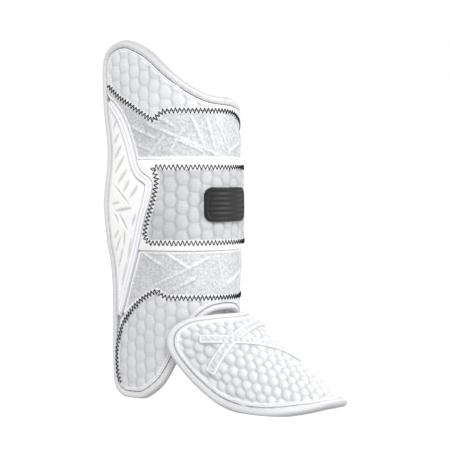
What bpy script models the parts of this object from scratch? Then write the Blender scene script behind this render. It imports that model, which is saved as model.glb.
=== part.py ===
"""Leg guard: a padded shin shell and a separate foot flap, built as named closed solids.

Frame: metres, +Z up, origin on the floor below the leg's axis. The shin faces -Y and the high outer
side faces -X. The guard stands on both ankle wings and on the side edges of the flap.

Every pad is drawn in a flat plan and then laid on a curved face. The shin's plan is (arc, height): arc
is the way round the leg from the shin's middle, positive on the outer side. The flap's plan is
(arc, length) along its crest. Tables hold shares of the driving sizes, so one size can change alone.
"""
import math
from typing import Callable, NamedTuple, Sequence

import bmesh
import bpy
import numpy as np
from mathutils.geometry import delaunay_2d_cdt

# Driving sizes of the shin, in metres
GUARD_HEIGHT = 0.380
OUTER_REACH = 0.160
INNER_REACH = 0.142
SHIN_RADIUS = 0.0673
SIDE_RADIUS = 0.190
FRONT_TURN = math.radians(80)

# Driving sizes of the flap, in metres
FLAP_LENGTH = 0.146
FLAP_HEIGHT = 0.0935
FLAP_GIRTH = 0.098
FLAP_RADIUS = 0.060
FLAP_START = 0.0770
FLAP_TURN = math.radians(78)

# Layers, in metres
PAD_THICKNESS = 0.0030
SHELL_THICKNESS = 0.0070
FLAP_THICKNESS = 0.0070
SEAM_GAP = 0.0006
EDGE_ROUND = 0.0011
PAD_BULGE = 0.0008
BAND_RISE = 0.0020
BULGE_WIDTH = 0.018
BINDING_WIDTH = 0.0082
BINDING_PROUD = 0.0008
RIDGE_WIDTH = 0.0096
RIDGE_RISE = 0.0024
RIDGE_TAPER = 0.020
RIDGE_THINNING = 0.55
BAR_WIDTH = 0.0095
BAR_THICKNESS = 0.0014

# Badge, straps and hinge, in metres
BADGE_WIDTH = 0.060
BADGE_HEIGHT = 0.036
BADGE_CORNER = 0.009
BADGE_THICKNESS = 0.0020
BADGE_LEVEL = 0.206
STRAP_THICKNESS = 0.0024
STRAP_CLEARANCE = 0.0006
STRAP_LIFT = 0.0012
STRAP_CORNER = 0.006
UPPER_STRAP_WIDTH = 0.045
LOWER_STRAP_WIDTH = 0.038
HINGE_WIDTH = 0.040
HINGE_THICKNESS = 0.0018

# Mesh spacing, in metres
ARC_STEP = 0.0100
RISE_STEP = 0.0180
PATH_STEP = 0.0100
HINGE_STEP = 0.0045
PATH_SAG = 0.00025
BLUNT_WIDTH = 0.0035
SHORT_EDGE = 0.0022
SHARP_CORNER = math.radians(48)
LEAST_EDGE = 0.2

Surface = Callable[[np.ndarray, np.ndarray], np.ndarray]


class Mark(NamedTuple):
    """A plan point: share of the reach on its own side, share of the height."""

    arc: float
    height: float


class Section(NamedTuple):
    """Front radius and front distance at a share of the guard's height, as shares of SHIN_RADIUS."""

    height: float
    radius: float
    front: float


class Crest(NamedTuple):
    """The flap's crest at a share of its length: height, section radius and section lean in degrees."""

    forward: float
    height: float
    radius: float
    lean: float


class FlapMark(NamedTuple):
    """A flap plan point: share of the girth from the crest, share of the crest's length."""

    arc: float
    length: float


class Finish(NamedTuple):
    """A material's name, linear colour and roughness."""

    name: str
    colour: tuple[float, float, float]
    roughness: float


SHIN_SECTIONS = (
    Section(0.00, 0.877, 0.981),
    Section(0.24, 0.892, 0.996),
    Section(0.55, 1.000, 1.000),
    Section(0.79, 0.929, 0.966),
    Section(1.00, 0.906, 0.951),
)

OUTLINE = (
    Mark(0.00, 0.840),
    Mark(0.13, 0.846),
    Mark(0.26, 0.871),
    Mark(0.39, 0.911),
    Mark(0.53, 0.960),
    Mark(0.65, 0.987),
    Mark(0.77, 1.000),
    Mark(0.90, 0.987),
    Mark(0.98, 0.957),
    Mark(1.00, 0.900),
    Mark(0.985, 0.810),
    Mark(0.935, 0.680),
    Mark(0.977, 0.545),
    Mark(0.955, 0.440),
    Mark(0.914, 0.340),
    Mark(0.914, 0.120),
    Mark(0.890, 0.030),
    Mark(0.800, 0.000),
    Mark(0.700, -0.004),
    Mark(0.610, 0.000),
    Mark(0.530, 0.018),
    Mark(0.440, 0.050),
    Mark(0.365, 0.099),
    Mark(0.300, 0.155),
    Mark(0.210, 0.212),
    Mark(0.10, 0.242),
    Mark(-0.10, 0.242),
    Mark(-0.235, 0.212),
    Mark(-0.335, 0.155),
    Mark(-0.410, 0.099),
    Mark(-0.495, 0.050),
    Mark(-0.590, 0.018),
    Mark(-0.680, 0.000),
    Mark(-0.780, -0.004),
    Mark(-0.880, 0.000),
    Mark(-0.975, 0.032),
    Mark(-1.000, 0.120),
    Mark(-1.000, 0.340),
    Mark(-1.000, 0.545),
    Mark(-0.990, 0.680),
    Mark(-0.940, 0.735),
    Mark(-0.780, 0.764),
    Mark(-0.500, 0.797),
    Mark(-0.250, 0.827),
    Mark(-0.100, 0.838),
)

# Seams run from the inner side to the outer side
TOP_SEAM = (
    Mark(-1.10, 0.678),
    Mark(-0.80, 0.706),
    Mark(-0.50, 0.742),
    Mark(-0.25, 0.778),
    Mark(-0.06, 0.799),
    Mark(0.20, 0.800),
    Mark(0.40, 0.799),
    Mark(0.455, 0.793),
    Mark(0.505, 0.776),
    Mark(0.56, 0.784),
    Mark(0.68, 0.813),
    Mark(0.82, 0.845),
    Mark(0.94, 0.881),
    Mark(1.10, 0.915),
)
LOW_SEAM = (
    Mark(-1.10, 0.180),
    Mark(-0.85, 0.250),
    Mark(-0.60, 0.292),
    Mark(-0.40, 0.286),
    Mark(-0.20, 0.283),
    Mark(0.05, 0.284),
    Mark(0.30, 0.286),
    Mark(0.44, 0.288),
    Mark(0.494, 0.305),
    Mark(0.59, 0.287),
    Mark(0.69, 0.261),
    Mark(0.76, 0.238),
    Mark(0.90, 0.190),
    Mark(1.10, 0.130),
)
BAND_TOP = (Mark(-1.10, 0.666), Mark(1.10, 0.666))
BAND_BOTTOM = (Mark(-1.10, 0.415), Mark(1.10, 0.415))

# Ridge centre lines run from the top down
OUTER_RIDGE = (
    Mark(0.905, 0.831),
    Mark(0.865, 0.815),
    Mark(0.785, 0.777),
    Mark(0.715, 0.718),
    Mark(0.668, 0.655),
    Mark(0.628, 0.626),
    Mark(0.560, 0.606),
    Mark(0.548, 0.590),
    Mark(0.572, 0.550),
    Mark(0.605, 0.508),
    Mark(0.650, 0.440),
    Mark(0.700, 0.375),
    Mark(0.765, 0.300),
    Mark(0.824, 0.228),
)
INNER_RIDGE = (
    Mark(-0.890, 0.624),
    Mark(-0.800, 0.590),
    Mark(-0.730, 0.535),
    Mark(-0.700, 0.470),
    Mark(-0.715, 0.400),
    Mark(-0.765, 0.320),
    Mark(-0.835, 0.250),
    Mark(-0.870, 0.215),
)

CRESTS = (
    Crest(0.00, 1.000, 1.15, 36.0),
    Crest(0.13, 0.900, 1.10, 42.0),
    Crest(0.30, 0.737, 1.00, 55.0),
    Crest(0.50, 0.537, 0.98, 64.0),
    Crest(0.70, 0.362, 1.00, 76.0),
    Crest(0.86, 0.222, 0.78, 80.0),
    Crest(1.00, 0.140, 0.42, 80.0),
)
FLAP_HALF = (
    FlapMark(0.00, 0.010),
    FlapMark(0.27, -0.022),
    FlapMark(0.48, -0.065),
    FlapMark(0.66, -0.065),
    FlapMark(0.82, -0.020),
    FlapMark(0.93, 0.055),
    FlapMark(0.98, 0.150),
    FlapMark(0.98, 0.300),
    FlapMark(0.92, 0.480),
    FlapMark(0.70, 0.710),
    FlapMark(0.37, 0.890),
    FlapMark(0.12, 0.975),
    FlapMark(0.00, 0.990),
)
# Bars of the flap, as start and end of each centre line, positive arc on the outer side
FLAP_BARS = (
    (FlapMark(0.76, 0.300), FlapMark(-0.45, 0.100)),
    (FlapMark(0.60, 0.120), FlapMark(-0.32, 0.520)),
)
# Hinge from its lower end under the flap to its upper end in the shell: lift over the pads and height
HINGE_PATH = (
    (0.0125, 0.0806),
    (0.0070, 0.0822),
    (0.0000, 0.0834),
    (-0.0065, 0.0848),
    (-0.0112, 0.0880),
    (-0.0127, 0.0940),
    (-0.0127, 0.0990),
    (-0.0119, 0.1070),
    (-0.0119, 0.1180),
)

# Sections of the rolls: share of the width and share of the height above the middle or the base
BINDING_SECTION = (
    (0.00, -0.45),
    (0.22, -0.88),
    (0.60, -1.00),
    (1.00, -0.80),
    (1.00, 0.80),
    (0.60, 1.00),
    (0.22, 0.88),
    (0.00, 0.45),
)
RIDGE_SECTION = (
    (1.00, 0.00),
    (1.00, 0.60),
    (0.72, 0.88),
    (0.25, 1.00),
    (-0.25, 1.00),
    (-0.72, 0.88),
    (-1.00, 0.60),
    (-1.00, 0.00),
)

# Bow of a strap behind the leg: share of the way across and depth, both as shares of the open width
STRAP_BOW = ((0.02, 0.11), (0.16, 0.26), (0.50, 0.34), (0.84, 0.26), (0.98, 0.11))

WHITE = (0.80, 0.80, 0.81)
FINISHES = {
    "shin_shell": Finish("lining_knit", (0.62, 0.63, 0.65), 0.85),
    "top_cap": Finish("embossed_knit", WHITE, 0.75),
    "upper_shield": Finish("grained_skin", (0.82, 0.82, 0.82), 0.50),
    "centre_band": Finish("embossed_knit", WHITE, 0.75),
    "lower_shield": Finish("grained_skin", (0.82, 0.82, 0.82), 0.50),
    "ankle_panel": Finish("embossed_knit", WHITE, 0.75),
    "outer_side_panel": Finish("ribbed_skin", (0.84, 0.84, 0.83), 0.45),
    "inner_side_panel": Finish("ribbed_skin", (0.84, 0.84, 0.83), 0.45),
    "outer_ridge": Finish("smooth_skin", (0.78, 0.77, 0.82), 0.40),
    "inner_ridge": Finish("smooth_skin", (0.78, 0.77, 0.82), 0.40),
    "shin_binding": Finish("binding_cloth", (0.74, 0.74, 0.75), 0.70),
    "front_badge": Finish("badge_rubber", (0.015, 0.015, 0.016), 0.55),
    "foot_flap": Finish("embossed_knit", WHITE, 0.75),
    "flap_cross_band": Finish("grained_skin", (0.82, 0.82, 0.82), 0.50),
    "flap_binding": Finish("binding_cloth", (0.74, 0.74, 0.75), 0.70),
    "flap_hinge": Finish("hinge_cloth", (0.70, 0.70, 0.71), 0.80),
    "upper_strap": Finish("strap_webbing", (0.72, 0.72, 0.73), 0.80),
    "lower_strap": Finish("strap_webbing", (0.72, 0.72, 0.73), 0.80),
}


# Curves

def spline(at: np.ndarray, xs: Sequence[float], ys: Sequence[float]) -> np.ndarray:
    """Smooth curve through (xs, ys), held level past both ends."""
    xs, ys = np.asarray(xs, float), np.asarray(ys, float)
    slopes = np.gradient(ys, xs)
    low = np.clip(np.searchsorted(xs, at) - 1, 0, len(xs) - 2)
    width = xs[low + 1] - xs[low]
    t = (np.clip(at, xs[0], xs[-1]) - xs[low]) / width
    rise = t * t * (3 - 2 * t)
    ends = ys[low] * (1 - rise) + ys[low + 1] * rise
    return ends + width * t * (1 - t) * ((1 - t) * slopes[low] - t * slopes[low + 1])


def smooth_path(points: np.ndarray, closed: bool) -> np.ndarray:
    """Catmull-Rom curve through plan points, with 16 points a span."""
    if closed:
        held = np.concatenate([points[-1:], points, points[:2]])
    else:
        held = np.concatenate([2 * points[:1] - points[1:2], points, 2 * points[-1:] - points[-2:-1]])
    t = np.linspace(0, 1, 16, endpoint=False)[None, :, None]
    a, b, c, d = (held[i : len(held) - 3 + i, None, :] for i in range(4))
    span = b + 0.5 * t * (c - a + t * (2 * a - 5 * b + 4 * c - d + t * (3 * (b - c) + d - a)))
    span = span.reshape(-1, 2)
    return span if closed else np.concatenate([span, points[-1:]])


def resample(path: np.ndarray, closed: bool) -> np.ndarray:
    """Points along a path, nearer together where it bends, by PATH_SAG and PATH_STEP."""
    line = np.concatenate([path, path[:1]]) if closed else path
    step = np.diff(line, axis=0)
    length = np.hypot(*step.T)
    heading = np.unwrap(np.arctan2(step[:, 1], step[:, 0]))
    turn = np.abs(np.gradient(heading)) / length
    kernel = np.ones(9) / 9
    turn = np.convolve(np.pad(turn, 4, mode="wrap" if closed else "edge"), kernel, mode="valid")
    pitch = np.minimum(np.sqrt(8 * PATH_SAG / np.maximum(turn, 1e-6)), PATH_STEP)
    cost = np.concatenate([[0.0], np.cumsum(length / pitch)])
    count = int(math.ceil(cost[-1]))
    at = np.linspace(0, cost[-1], count + 1)
    if closed:
        at = at[:-1]
    return np.stack([np.interp(at, cost, line[:, i]) for i in range(2)], axis=-1)


def subdivide(loop: np.ndarray, step: float) -> np.ndarray:
    """The closed loop with its long edges split evenly, corners kept."""
    pieces = []
    for start, end in zip(loop, np.roll(loop, -1, axis=0)):
        count = max(1, math.ceil(float(np.hypot(*(end - start))) / step))
        share = np.arange(count)[:, None] / count
        pieces.append(start + (end - start) * share)
    return np.concatenate(pieces)


def signed_area(loop: np.ndarray) -> float:
    """Area of a closed loop, positive when it runs anticlockwise."""
    x, y = loop.T
    return 0.5 * float(np.sum(x * np.roll(y, -1) - np.roll(x, -1) * y))


def side_normals(path: np.ndarray, closed: bool) -> np.ndarray:
    """Mitred left-hand normals of a path's points."""
    edge = np.diff(np.concatenate([path, path[:1]]), axis=0)
    normal = np.stack([-edge[:, 1], edge[:, 0]], axis=-1) / np.hypot(*edge.T)[:, None]
    if not closed:
        normal[-1] = normal[-2]
    before = np.roll(normal, 1, axis=0)
    if not closed:
        before[0] = normal[0]
    reach = np.maximum(1 + np.sum(before * normal, axis=1), 0.35)
    return (before + normal) / reach[:, None]


def inset(loop: np.ndarray, distance: float) -> np.ndarray:
    """The closed loop moved inward by a distance."""
    side = 1.0 if signed_area(loop) > 0 else -1.0
    return loop + side_normals(loop, True) * side * distance


def drop_one(points: np.ndarray, edge: int) -> np.ndarray:
    """The closed loop without one end of an edge: the end where the loop runs straighter."""
    pair = np.array([edge, (edge + 1) % len(points)])
    back = points[pair - 1] - points[pair]
    ahead = points[(pair + 1) % len(points)] - points[pair]
    fold = np.sum(back * ahead, axis=1) / (np.hypot(*back.T) * np.hypot(*ahead.T))
    return np.delete(points, pair[int(np.argmin(fold))], axis=0)


def drop_folds(loop: np.ndarray, distance: float) -> np.ndarray:
    """The closed loop without the edges that would shrink below LEAST_EDGE when it moves inward."""
    points = loop
    while True:
        edge = np.roll(points, -1, axis=0) - points
        moved = inset(points, distance)
        after = np.roll(moved, -1, axis=0) - moved
        kept = np.sum(edge * after, axis=1) / np.sum(edge * edge, axis=1)
        first = int(np.argmin(kept))
        if kept[first] > LEAST_EDGE:
            return points
        points = drop_one(points, first)


# Cutting the plan into pads

def crossings(loop: np.ndarray, cut: np.ndarray) -> list[tuple[float, int, np.ndarray]]:
    """Where an open cut meets a closed loop: place on the cut, loop edge, point; ordered on the cut."""
    found = []
    ends = np.roll(loop, -1, axis=0) - loop
    for index in range(len(cut) - 1):
        along = cut[index + 1] - cut[index]
        apart = loop - cut[index]
        scale = along[0] * ends[:, 1] - along[1] * ends[:, 0]
        with np.errstate(divide="ignore", invalid="ignore"):
            on_cut = (apart[:, 0] * ends[:, 1] - apart[:, 1] * ends[:, 0]) / scale
            on_edge = (apart[:, 0] * along[1] - apart[:, 1] * along[0]) / scale
        hit = (on_cut >= 0) & (on_cut < 1) & (on_edge >= 0) & (on_edge < 1)
        for edge in np.flatnonzero(hit):
            found.append((index + float(on_cut[edge]), int(edge), cut[index] + along * on_cut[edge]))
    return sorted(found, key=lambda item: item[0])


def drop_close(loop: np.ndarray, distance: float) -> np.ndarray:
    """The loop without edges shorter than a distance."""
    points = loop
    while True:
        gaps = np.hypot(*(np.roll(points, -1, axis=0) - points).T)
        first = int(np.argmin(gaps))
        if gaps[first] > distance:
            return points
        points = drop_one(points, first)


def split(loop: np.ndarray, cut: np.ndarray) -> tuple[np.ndarray, np.ndarray]:
    """The two parts of an anticlockwise loop on the left and on the right of a cut through it."""
    met = crossings(loop, cut)
    (enter_at, enter_edge, enter), (leave_at, leave_edge, leave) = met[0], met[-1]
    inner = cut[math.ceil(enter_at + 1e-9) : math.floor(leave_at) + 1]
    line = np.concatenate([[enter], inner, [leave]])
    count = len(loop)
    ahead = [(leave_edge + 1 + i) % count for i in range((enter_edge - leave_edge) % count)]
    behind = [(enter_edge + 1 + i) % count for i in range((leave_edge - enter_edge) % count)]
    left = np.concatenate([line, loop[ahead]])
    right = np.concatenate([line[::-1], loop[behind]])
    return drop_close(left, SHORT_EDGE), drop_close(right, SHORT_EDGE)


def is_sharp(before: np.ndarray, here: np.ndarray, after: np.ndarray) -> bool:
    """Whether a corner is narrower than SHARP_CORNER."""
    back, ahead = before - here, after - here
    return back @ ahead > math.cos(SHARP_CORNER) * np.hypot(*back) * np.hypot(*ahead)


def blunt(loop: np.ndarray) -> np.ndarray:
    """The loop with its sharp tips cut back until they are BLUNT_WIDTH wide."""
    points, passed = list(loop), 0
    while passed < len(points):
        points = points[1:] + points[:1]
        passed += 1
        if is_sharp(points[-1], points[0], points[1]):
            points.pop(0)
            while np.hypot(*(points[-1] - points[0])) < BLUNT_WIDTH:
                points = points[1:-1]
            passed = 0
    return np.array(points)


def plan_of(marks: Sequence[Mark]) -> np.ndarray:
    """Plan points in metres from shares of the reach and of the height."""
    reach = [OUTER_REACH if mark.arc > 0 else INNER_REACH for mark in marks]
    return np.array([(mark.arc * side, mark.height * GUARD_HEIGHT) for mark, side in zip(marks, reach)])


def seam(marks: Sequence[Mark]) -> np.ndarray:
    """A seam line at mesh spacing."""
    return resample(smooth_path(plan_of(marks), False), False)


# Curved faces

def shin_surface(points: np.ndarray, lift: np.ndarray) -> np.ndarray:
    """Shin plan points laid round the leg: a round front, then flatter sides; never below the floor."""
    arc, height = points[:, 0], points[:, 1]
    share = height / GUARD_HEIGHT
    heights, radii, fronts = zip(*SHIN_SECTIONS)
    radius = SHIN_RADIUS * spline(share, heights, radii)
    front = SHIN_RADIUS * spline(share, heights, fronts)
    beyond = np.maximum(np.abs(arc) - radius * FRONT_TURN, 0.0)
    side = beyond > 0
    turn = np.where(side, FRONT_TURN + beyond / SIDE_RADIUS, np.abs(arc) / radius)
    shift = np.where(side, SIDE_RADIUS - radius, 0.0)
    reach = np.where(side, SIDE_RADIUS, radius) + lift
    across = reach * np.sin(turn) - shift * math.sin(FRONT_TURN)
    back = radius - front + shift * math.cos(FRONT_TURN) - reach * np.cos(turn)
    return np.stack([-np.sign(arc) * across, back, np.maximum(height, 0.0)], axis=-1)


def lifted(base: Callable[[np.ndarray], np.ndarray], side: float = 1.0, probe: float = 0.0005) -> Surface:
    """A surface that moves a base face along its normal on one side, never below the floor."""

    def surface(points: np.ndarray, lift: np.ndarray) -> np.ndarray:
        along = base(points + [probe, 0]) - base(points - [probe, 0])
        up = base(points + [0, probe]) - base(points - [0, probe])
        normal = side * np.cross(up, along)
        normal /= np.linalg.norm(normal, axis=1)[:, None]
        placed = base(points) + normal * np.asarray(lift).reshape(-1, 1)
        placed[:, 2] = np.maximum(placed[:, 2], 0.0)
        return placed

    return surface


def crest_line() -> tuple[np.ndarray, np.ndarray]:
    """Length along the flap's crest, and its (y, z, radius, lean) rows."""
    share = np.linspace(0, 1, 121)
    forward, heights, radii, leans = zip(*CRESTS)
    y = -FLAP_START - FLAP_LENGTH * share
    z = FLAP_HEIGHT * spline(share, forward, heights)
    radius = FLAP_RADIUS * spline(share, forward, radii)
    lean = np.radians(spline(share, forward, leans))
    length = np.concatenate([[0.0], np.cumsum(np.hypot(np.diff(y), np.diff(z)))])
    return length, np.stack([y, z, radius, lean])


def flap_base(points: np.ndarray) -> np.ndarray:
    """Flap plan points on arched sections that lean back along the crest."""
    length, rows = crest_line()
    arc, along = np.abs(points[:, 0]), points[:, 1]
    y, z, radius, lean = (np.interp(along, length, row) for row in rows)
    slope = np.diff(rows[:2], axis=1) / np.diff(length)
    past = along - np.clip(along, 0, length[-1])
    end = np.where(along < 0, 0, slope.shape[1] - 1)
    y, z = y + past * slope[0, end], z + past * slope[1, end]
    beyond = np.maximum(arc - radius * FLAP_TURN, 0.0)
    turn = np.minimum(arc / radius, FLAP_TURN)
    across = radius * np.sin(turn) + beyond * math.cos(FLAP_TURN)
    drop = radius * (1 - np.cos(turn)) + beyond * math.sin(FLAP_TURN)
    x = -np.sign(points[:, 0]) * across
    return np.stack([x, y + drop * np.cos(lean), z - drop * np.sin(lean)], axis=-1)


def path_lengths(path: np.ndarray) -> np.ndarray:
    """Distance of each point of an open path from its start."""
    return np.concatenate([[0.0], np.cumsum(np.hypot(*np.diff(path, axis=0).T))])


def hinge_base(points: np.ndarray) -> np.ndarray:
    """Hinge plan points: inside the shell above, folded forward under the flap below."""
    path = smooth_path(np.array(HINGE_PATH), False)
    lift, height = (np.interp(points[:, 1], path_lengths(path), column) for column in path.T)
    return shin_surface(np.stack([points[:, 0], height], axis=-1), lift)


def strap_path(level: float) -> np.ndarray:
    """Plan view of a strap at a level, from inside the outer edge round the back to the inner edge."""
    depth = PAD_THICKNESS + SEAM_GAP + SHELL_THICKNESS + STRAP_CLEARANCE + STRAP_THICKNESS / 2
    shares = np.array([0.66, 0.72, 0.79, 0.86])
    arcs = np.concatenate([shares * OUTER_REACH, -shares[::-1] * INNER_REACH])
    depths = depth + np.array([0, 0, 0, 1, 1, 0, 0, 0]) * STRAP_LIFT
    held = shin_surface(np.stack([arcs, np.full(8, level)], axis=-1), -depths)[:, :2]
    span = held[4] - held[3]
    back = held[3] + [span * along + [0.0, span[0] * depth] for along, depth in STRAP_BOW]
    return smooth_path(np.concatenate([held[:4], back, held[4:]]), False)


def strap_base(level: float, width: float) -> Callable[[np.ndarray], np.ndarray]:
    """A band between the strap's path at its lower edge and its path at its upper edge."""
    low, high = strap_path(level - width / 2), strap_path(level + width / 2)
    length = path_lengths((low + high) / 2)

    def base(points: np.ndarray) -> np.ndarray:
        share = (points[:, 1] - level) / width + 0.5
        below, above = (
            np.array([np.interp(points[:, 0], length, path[:, i]) for i in range(2)]) for path in (low, high)
        )
        x, y = below * (1 - share) + above * share
        return np.stack([x, y, points[:, 1]], axis=-1)

    return base


# Solids

def inside(points: np.ndarray, loop: np.ndarray) -> np.ndarray:
    """Which plan points lie inside a closed loop."""
    result = np.zeros(len(points), bool)
    for (x0, y0), (x1, y1) in zip(loop, np.roll(loop, -1, axis=0)):
        if y0 == y1:
            continue
        spans = (points[:, 1] > y0) != (points[:, 1] > y1)
        result ^= spans & (points[:, 0] < x0 + (points[:, 1] - y0) * (x1 - x0) / (y1 - y0))
    return result


def edge_distance(points: np.ndarray, loop: np.ndarray) -> np.ndarray:
    """Distance of plan points from a closed loop."""
    best = np.full(len(points), np.inf)
    for start, end in zip(loop, np.roll(loop, -1, axis=0)):
        along = end - start
        t = np.clip((points - start) @ along / (along @ along), 0, 1)
        best = np.minimum(best, np.hypot(*(start + t[:, None] * along - points).T))
    return best


def fill_points(loop: np.ndarray, across: float, up: float) -> np.ndarray:
    """Grid points well inside a loop."""
    low, high = loop.min(axis=0), loop.max(axis=0)
    columns = np.arange(math.floor(low[0] / across), math.ceil(high[0] / across) + 1) * across
    rows = np.arange(math.floor(low[1] / up), math.ceil(high[1] / up) + 1) * up
    grid = np.stack(np.meshgrid(columns, rows), axis=-1).reshape(-1, 2)
    grid = grid[inside(grid, loop)]
    return grid[edge_distance(grid, loop) > 0.45 * across]


def triangles(loop: np.ndarray, filling: np.ndarray) -> np.ndarray:
    """Delaunay triangles inside a loop; the loop's points come first, the filling's after them."""
    points = np.concatenate([loop, filling])
    count = len(loop)
    edges = [(i, (i + 1) % count) for i in range(count)]
    _, _, faces, origin, _, _ = delaunay_2d_cdt(points.tolist(), edges, [], 0, 1e-7, True)
    corners = np.array([[origin[corner][0] for corner in face] for face in faces])
    return corners[inside(points[corners].mean(axis=1), loop)]


def add_object(name: str, vertices: np.ndarray, faces: Sequence[Sequence[int]]) -> None:
    """A named object with its own material, its faces turned outward."""
    mesh = bpy.data.meshes.new(name)
    mesh.from_pydata([tuple(map(float, vertex)) for vertex in vertices], [], [list(face) for face in faces])
    shape = bmesh.new()
    shape.from_mesh(mesh)
    bmesh.ops.recalc_face_normals(shape, faces=shape.faces)
    shape.to_mesh(mesh)
    shape.free()
    finish = FINISHES[name]
    material = bpy.data.materials.new(f"{name}_{finish.name}")
    material.use_nodes = True
    shader = material.node_tree.nodes["Principled BSDF"]
    shader.inputs["Base Color"].default_value = (*finish.colour, 1.0)
    shader.inputs["Roughness"].default_value = finish.roughness
    mesh.materials.append(material)
    bpy.context.scene.collection.objects.link(bpy.data.objects.new(name, mesh))


def add_sheet(
    name: str,
    surface: Surface,
    loop: np.ndarray,
    low: float,
    high: float,
    across: float = ARC_STEP,
    up: float = RISE_STEP,
    bulge: float = 0.0,
    edge: float = 0.0,
    under: float = 1.0,
) -> None:
    """A pad over a plan loop from lift low to lift high, with a bevelled upper edge and a soft bulge.

    The mesh spacing is across by up, and that times under on the low face.
    """
    top_loop = inset(loop, edge) if edge else loop
    filling, top_filling = fill_points(loop, across * under, up * under), fill_points(top_loop, across, up)
    swell = np.sin(np.minimum(edge_distance(top_filling, loop) / BULGE_WIDTH, 1.0) * math.pi / 2)
    parts = [(loop, np.full(len(loop), low)), (filling, np.full(len(filling), low))]
    if edge:
        parts.append((loop, np.full(len(loop), high - edge)))
    parts += [(top_loop, np.full(len(loop), high)), (top_filling, high + bulge * swell)]
    vertices = np.concatenate([surface(points, lift) for points, lift in parts])
    count = len(loop)
    starts = np.cumsum([0] + [len(points) for points, _ in parts])
    faces = triangles(loop, filling).tolist()
    faces += (triangles(top_loop, top_filling) + starts[-3]).tolist()
    rings = [0, starts[2], starts[3]] if edge else [0, starts[2]]
    for below, above in zip(rings[:-1], rings[1:]):
        for i in range(count):
            j = (i + 1) % count
            faces.append((below + i, below + j, above + j, above + i))
    add_object(name, vertices, faces)


def add_roll(
    name: str, surface: Surface, paths: Sequence[np.ndarray], lifts: Sequence[float], closed: bool
) -> None:
    """A roll of matching plan paths, each at its own lift; an open roll has flat ends."""
    rows, count = len(paths), len(paths[0])
    vertices = np.concatenate([surface(path, np.full(count, lift)) for path, lift in zip(paths, lifts)])
    faces = []
    for row in range(rows):
        first, second = row * count, (row + 1) % rows * count
        for i in range(count if closed else count - 1):
            j = (i + 1) % count
            faces.append((first + i, first + j, second + j, second + i))
    if not closed:
        for end in (0, count - 1):
            faces.append(tuple(row * count + end for row in range(rows)))
    add_object(name, vertices, faces)


def add_binding(name: str, surface: Surface, outline: np.ndarray, thickness: float) -> None:
    """A rolled binding round an outline: a rounded section BINDING_WIDTH wide, proud of both faces."""
    width, middle = BINDING_WIDTH, BINDING_PROUD - thickness / 2
    half = thickness / 2
    paths = [inset(outline, share * width) if share else outline for share, _ in BINDING_SECTION]
    add_roll(name, surface, paths, [middle + half * height for _, height in BINDING_SECTION], True)


# The pieces

def shin_outline() -> np.ndarray:
    """Outer edge of the shin binding, anticlockwise in the plan."""
    loop = resample(smooth_path(plan_of(OUTLINE), True), True)
    return loop if signed_area(loop) > 0 else loop[::-1]


def ridge_line(marks: Sequence[Mark], reach: float) -> tuple[np.ndarray, np.ndarray]:
    """Centre line and half width of a ridge that thins toward its ends, with straight ends of a reach."""
    centre = seam(marks)
    length = path_lengths(centre)
    from_end = np.minimum(length, length[-1] - length)
    share = 1 - RIDGE_THINNING * np.maximum(1 - from_end / RIDGE_TAPER, 0.0) ** 2
    if reach:
        first = (centre[0] - centre[1]) / length[1] * reach
        last = (centre[-1] - centre[-2]) / (length[-1] - length[-2]) * reach
        centre = np.concatenate([[centre[0] + first], centre, [centre[-1] + last]])
        share = np.concatenate([share[:1], share, share[-1:]])
    return centre, share * RIDGE_WIDTH / 2


def cut_pads(field: np.ndarray) -> dict[str, np.ndarray]:
    """The plan loops of the shin's pads, cut from the field inside the binding."""
    below, cap = sorted(split(field, seam(TOP_SEAM)), key=lambda loop: loop[:, 1].max())
    pads = {"top_cap": cap}
    for name, marks, side in (("outer", OUTER_RIDGE, 1), ("inner", INNER_RIDGE, -1)):
        centre, half = ridge_line(marks, 0.25 * GUARD_HEIGHT)
        shift = side_normals(centre, False) * half[:, None] * side
        pads[f"{name}_side_panel"] = max(split(below, centre + shift), key=lambda loop: side * loop[:, 0].mean())
        below = min(split(below, centre - shift), key=lambda loop: side * loop[:, 0].mean())
    upper, rest = sorted(split(below, seam(BAND_TOP)), key=lambda loop: -loop[:, 1].mean())
    band, rest = sorted(split(rest, seam(BAND_BOTTOM)), key=lambda loop: -loop[:, 1].mean())
    lower, ankle = sorted(split(rest, seam(LOW_SEAM)), key=lambda loop: -loop[:, 1].mean())
    pads.update(upper_shield=upper, centre_band=band, lower_shield=lower, ankle_panel=ankle)
    room = SEAM_GAP / 2 + EDGE_ROUND
    tidy = {name: drop_folds(drop_close(blunt(loop), SHORT_EDGE), room) for name, loop in pads.items()}
    return {name: inset(loop, SEAM_GAP / 2) for name, loop in tidy.items()}


def add_shin() -> None:
    """Shell, pads, ridges and binding of the shin."""
    outline = shin_outline()
    field = inset(outline, BINDING_WIDTH + SEAM_GAP)
    shell_top = -PAD_THICKNESS - SEAM_GAP
    add_sheet("shin_shell", shin_surface, field, shell_top - SHELL_THICKNESS, shell_top, under=1.5)
    for name, loop in cut_pads(field).items():
        high = BAND_RISE if name == "centre_band" else 0.0
        add_sheet(name, shin_surface, loop, -PAD_THICKNESS, high, bulge=PAD_BULGE, edge=EDGE_ROUND)
    thickness = PAD_THICKNESS + SEAM_GAP + SHELL_THICKNESS
    add_binding("shin_binding", shin_surface, outline, thickness + 2 * BINDING_PROUD)
    add_ridge("outer_ridge", OUTER_RIDGE)
    add_ridge("inner_ridge", INNER_RIDGE)


def add_ridge(name: str, marks: Sequence[Mark]) -> None:
    """A rolled ridge along its centre line."""
    centre, half = ridge_line(marks, 0.0)
    normal = side_normals(centre, False) * (half - SEAM_GAP / 2)[:, None]
    rise = PAD_THICKNESS + RIDGE_RISE
    paths = [centre + normal * side for side, _ in RIDGE_SECTION]
    lifts = [rise * height - PAD_THICKNESS for _, height in RIDGE_SECTION]
    add_roll(name, shin_surface, paths, lifts, False)


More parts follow.
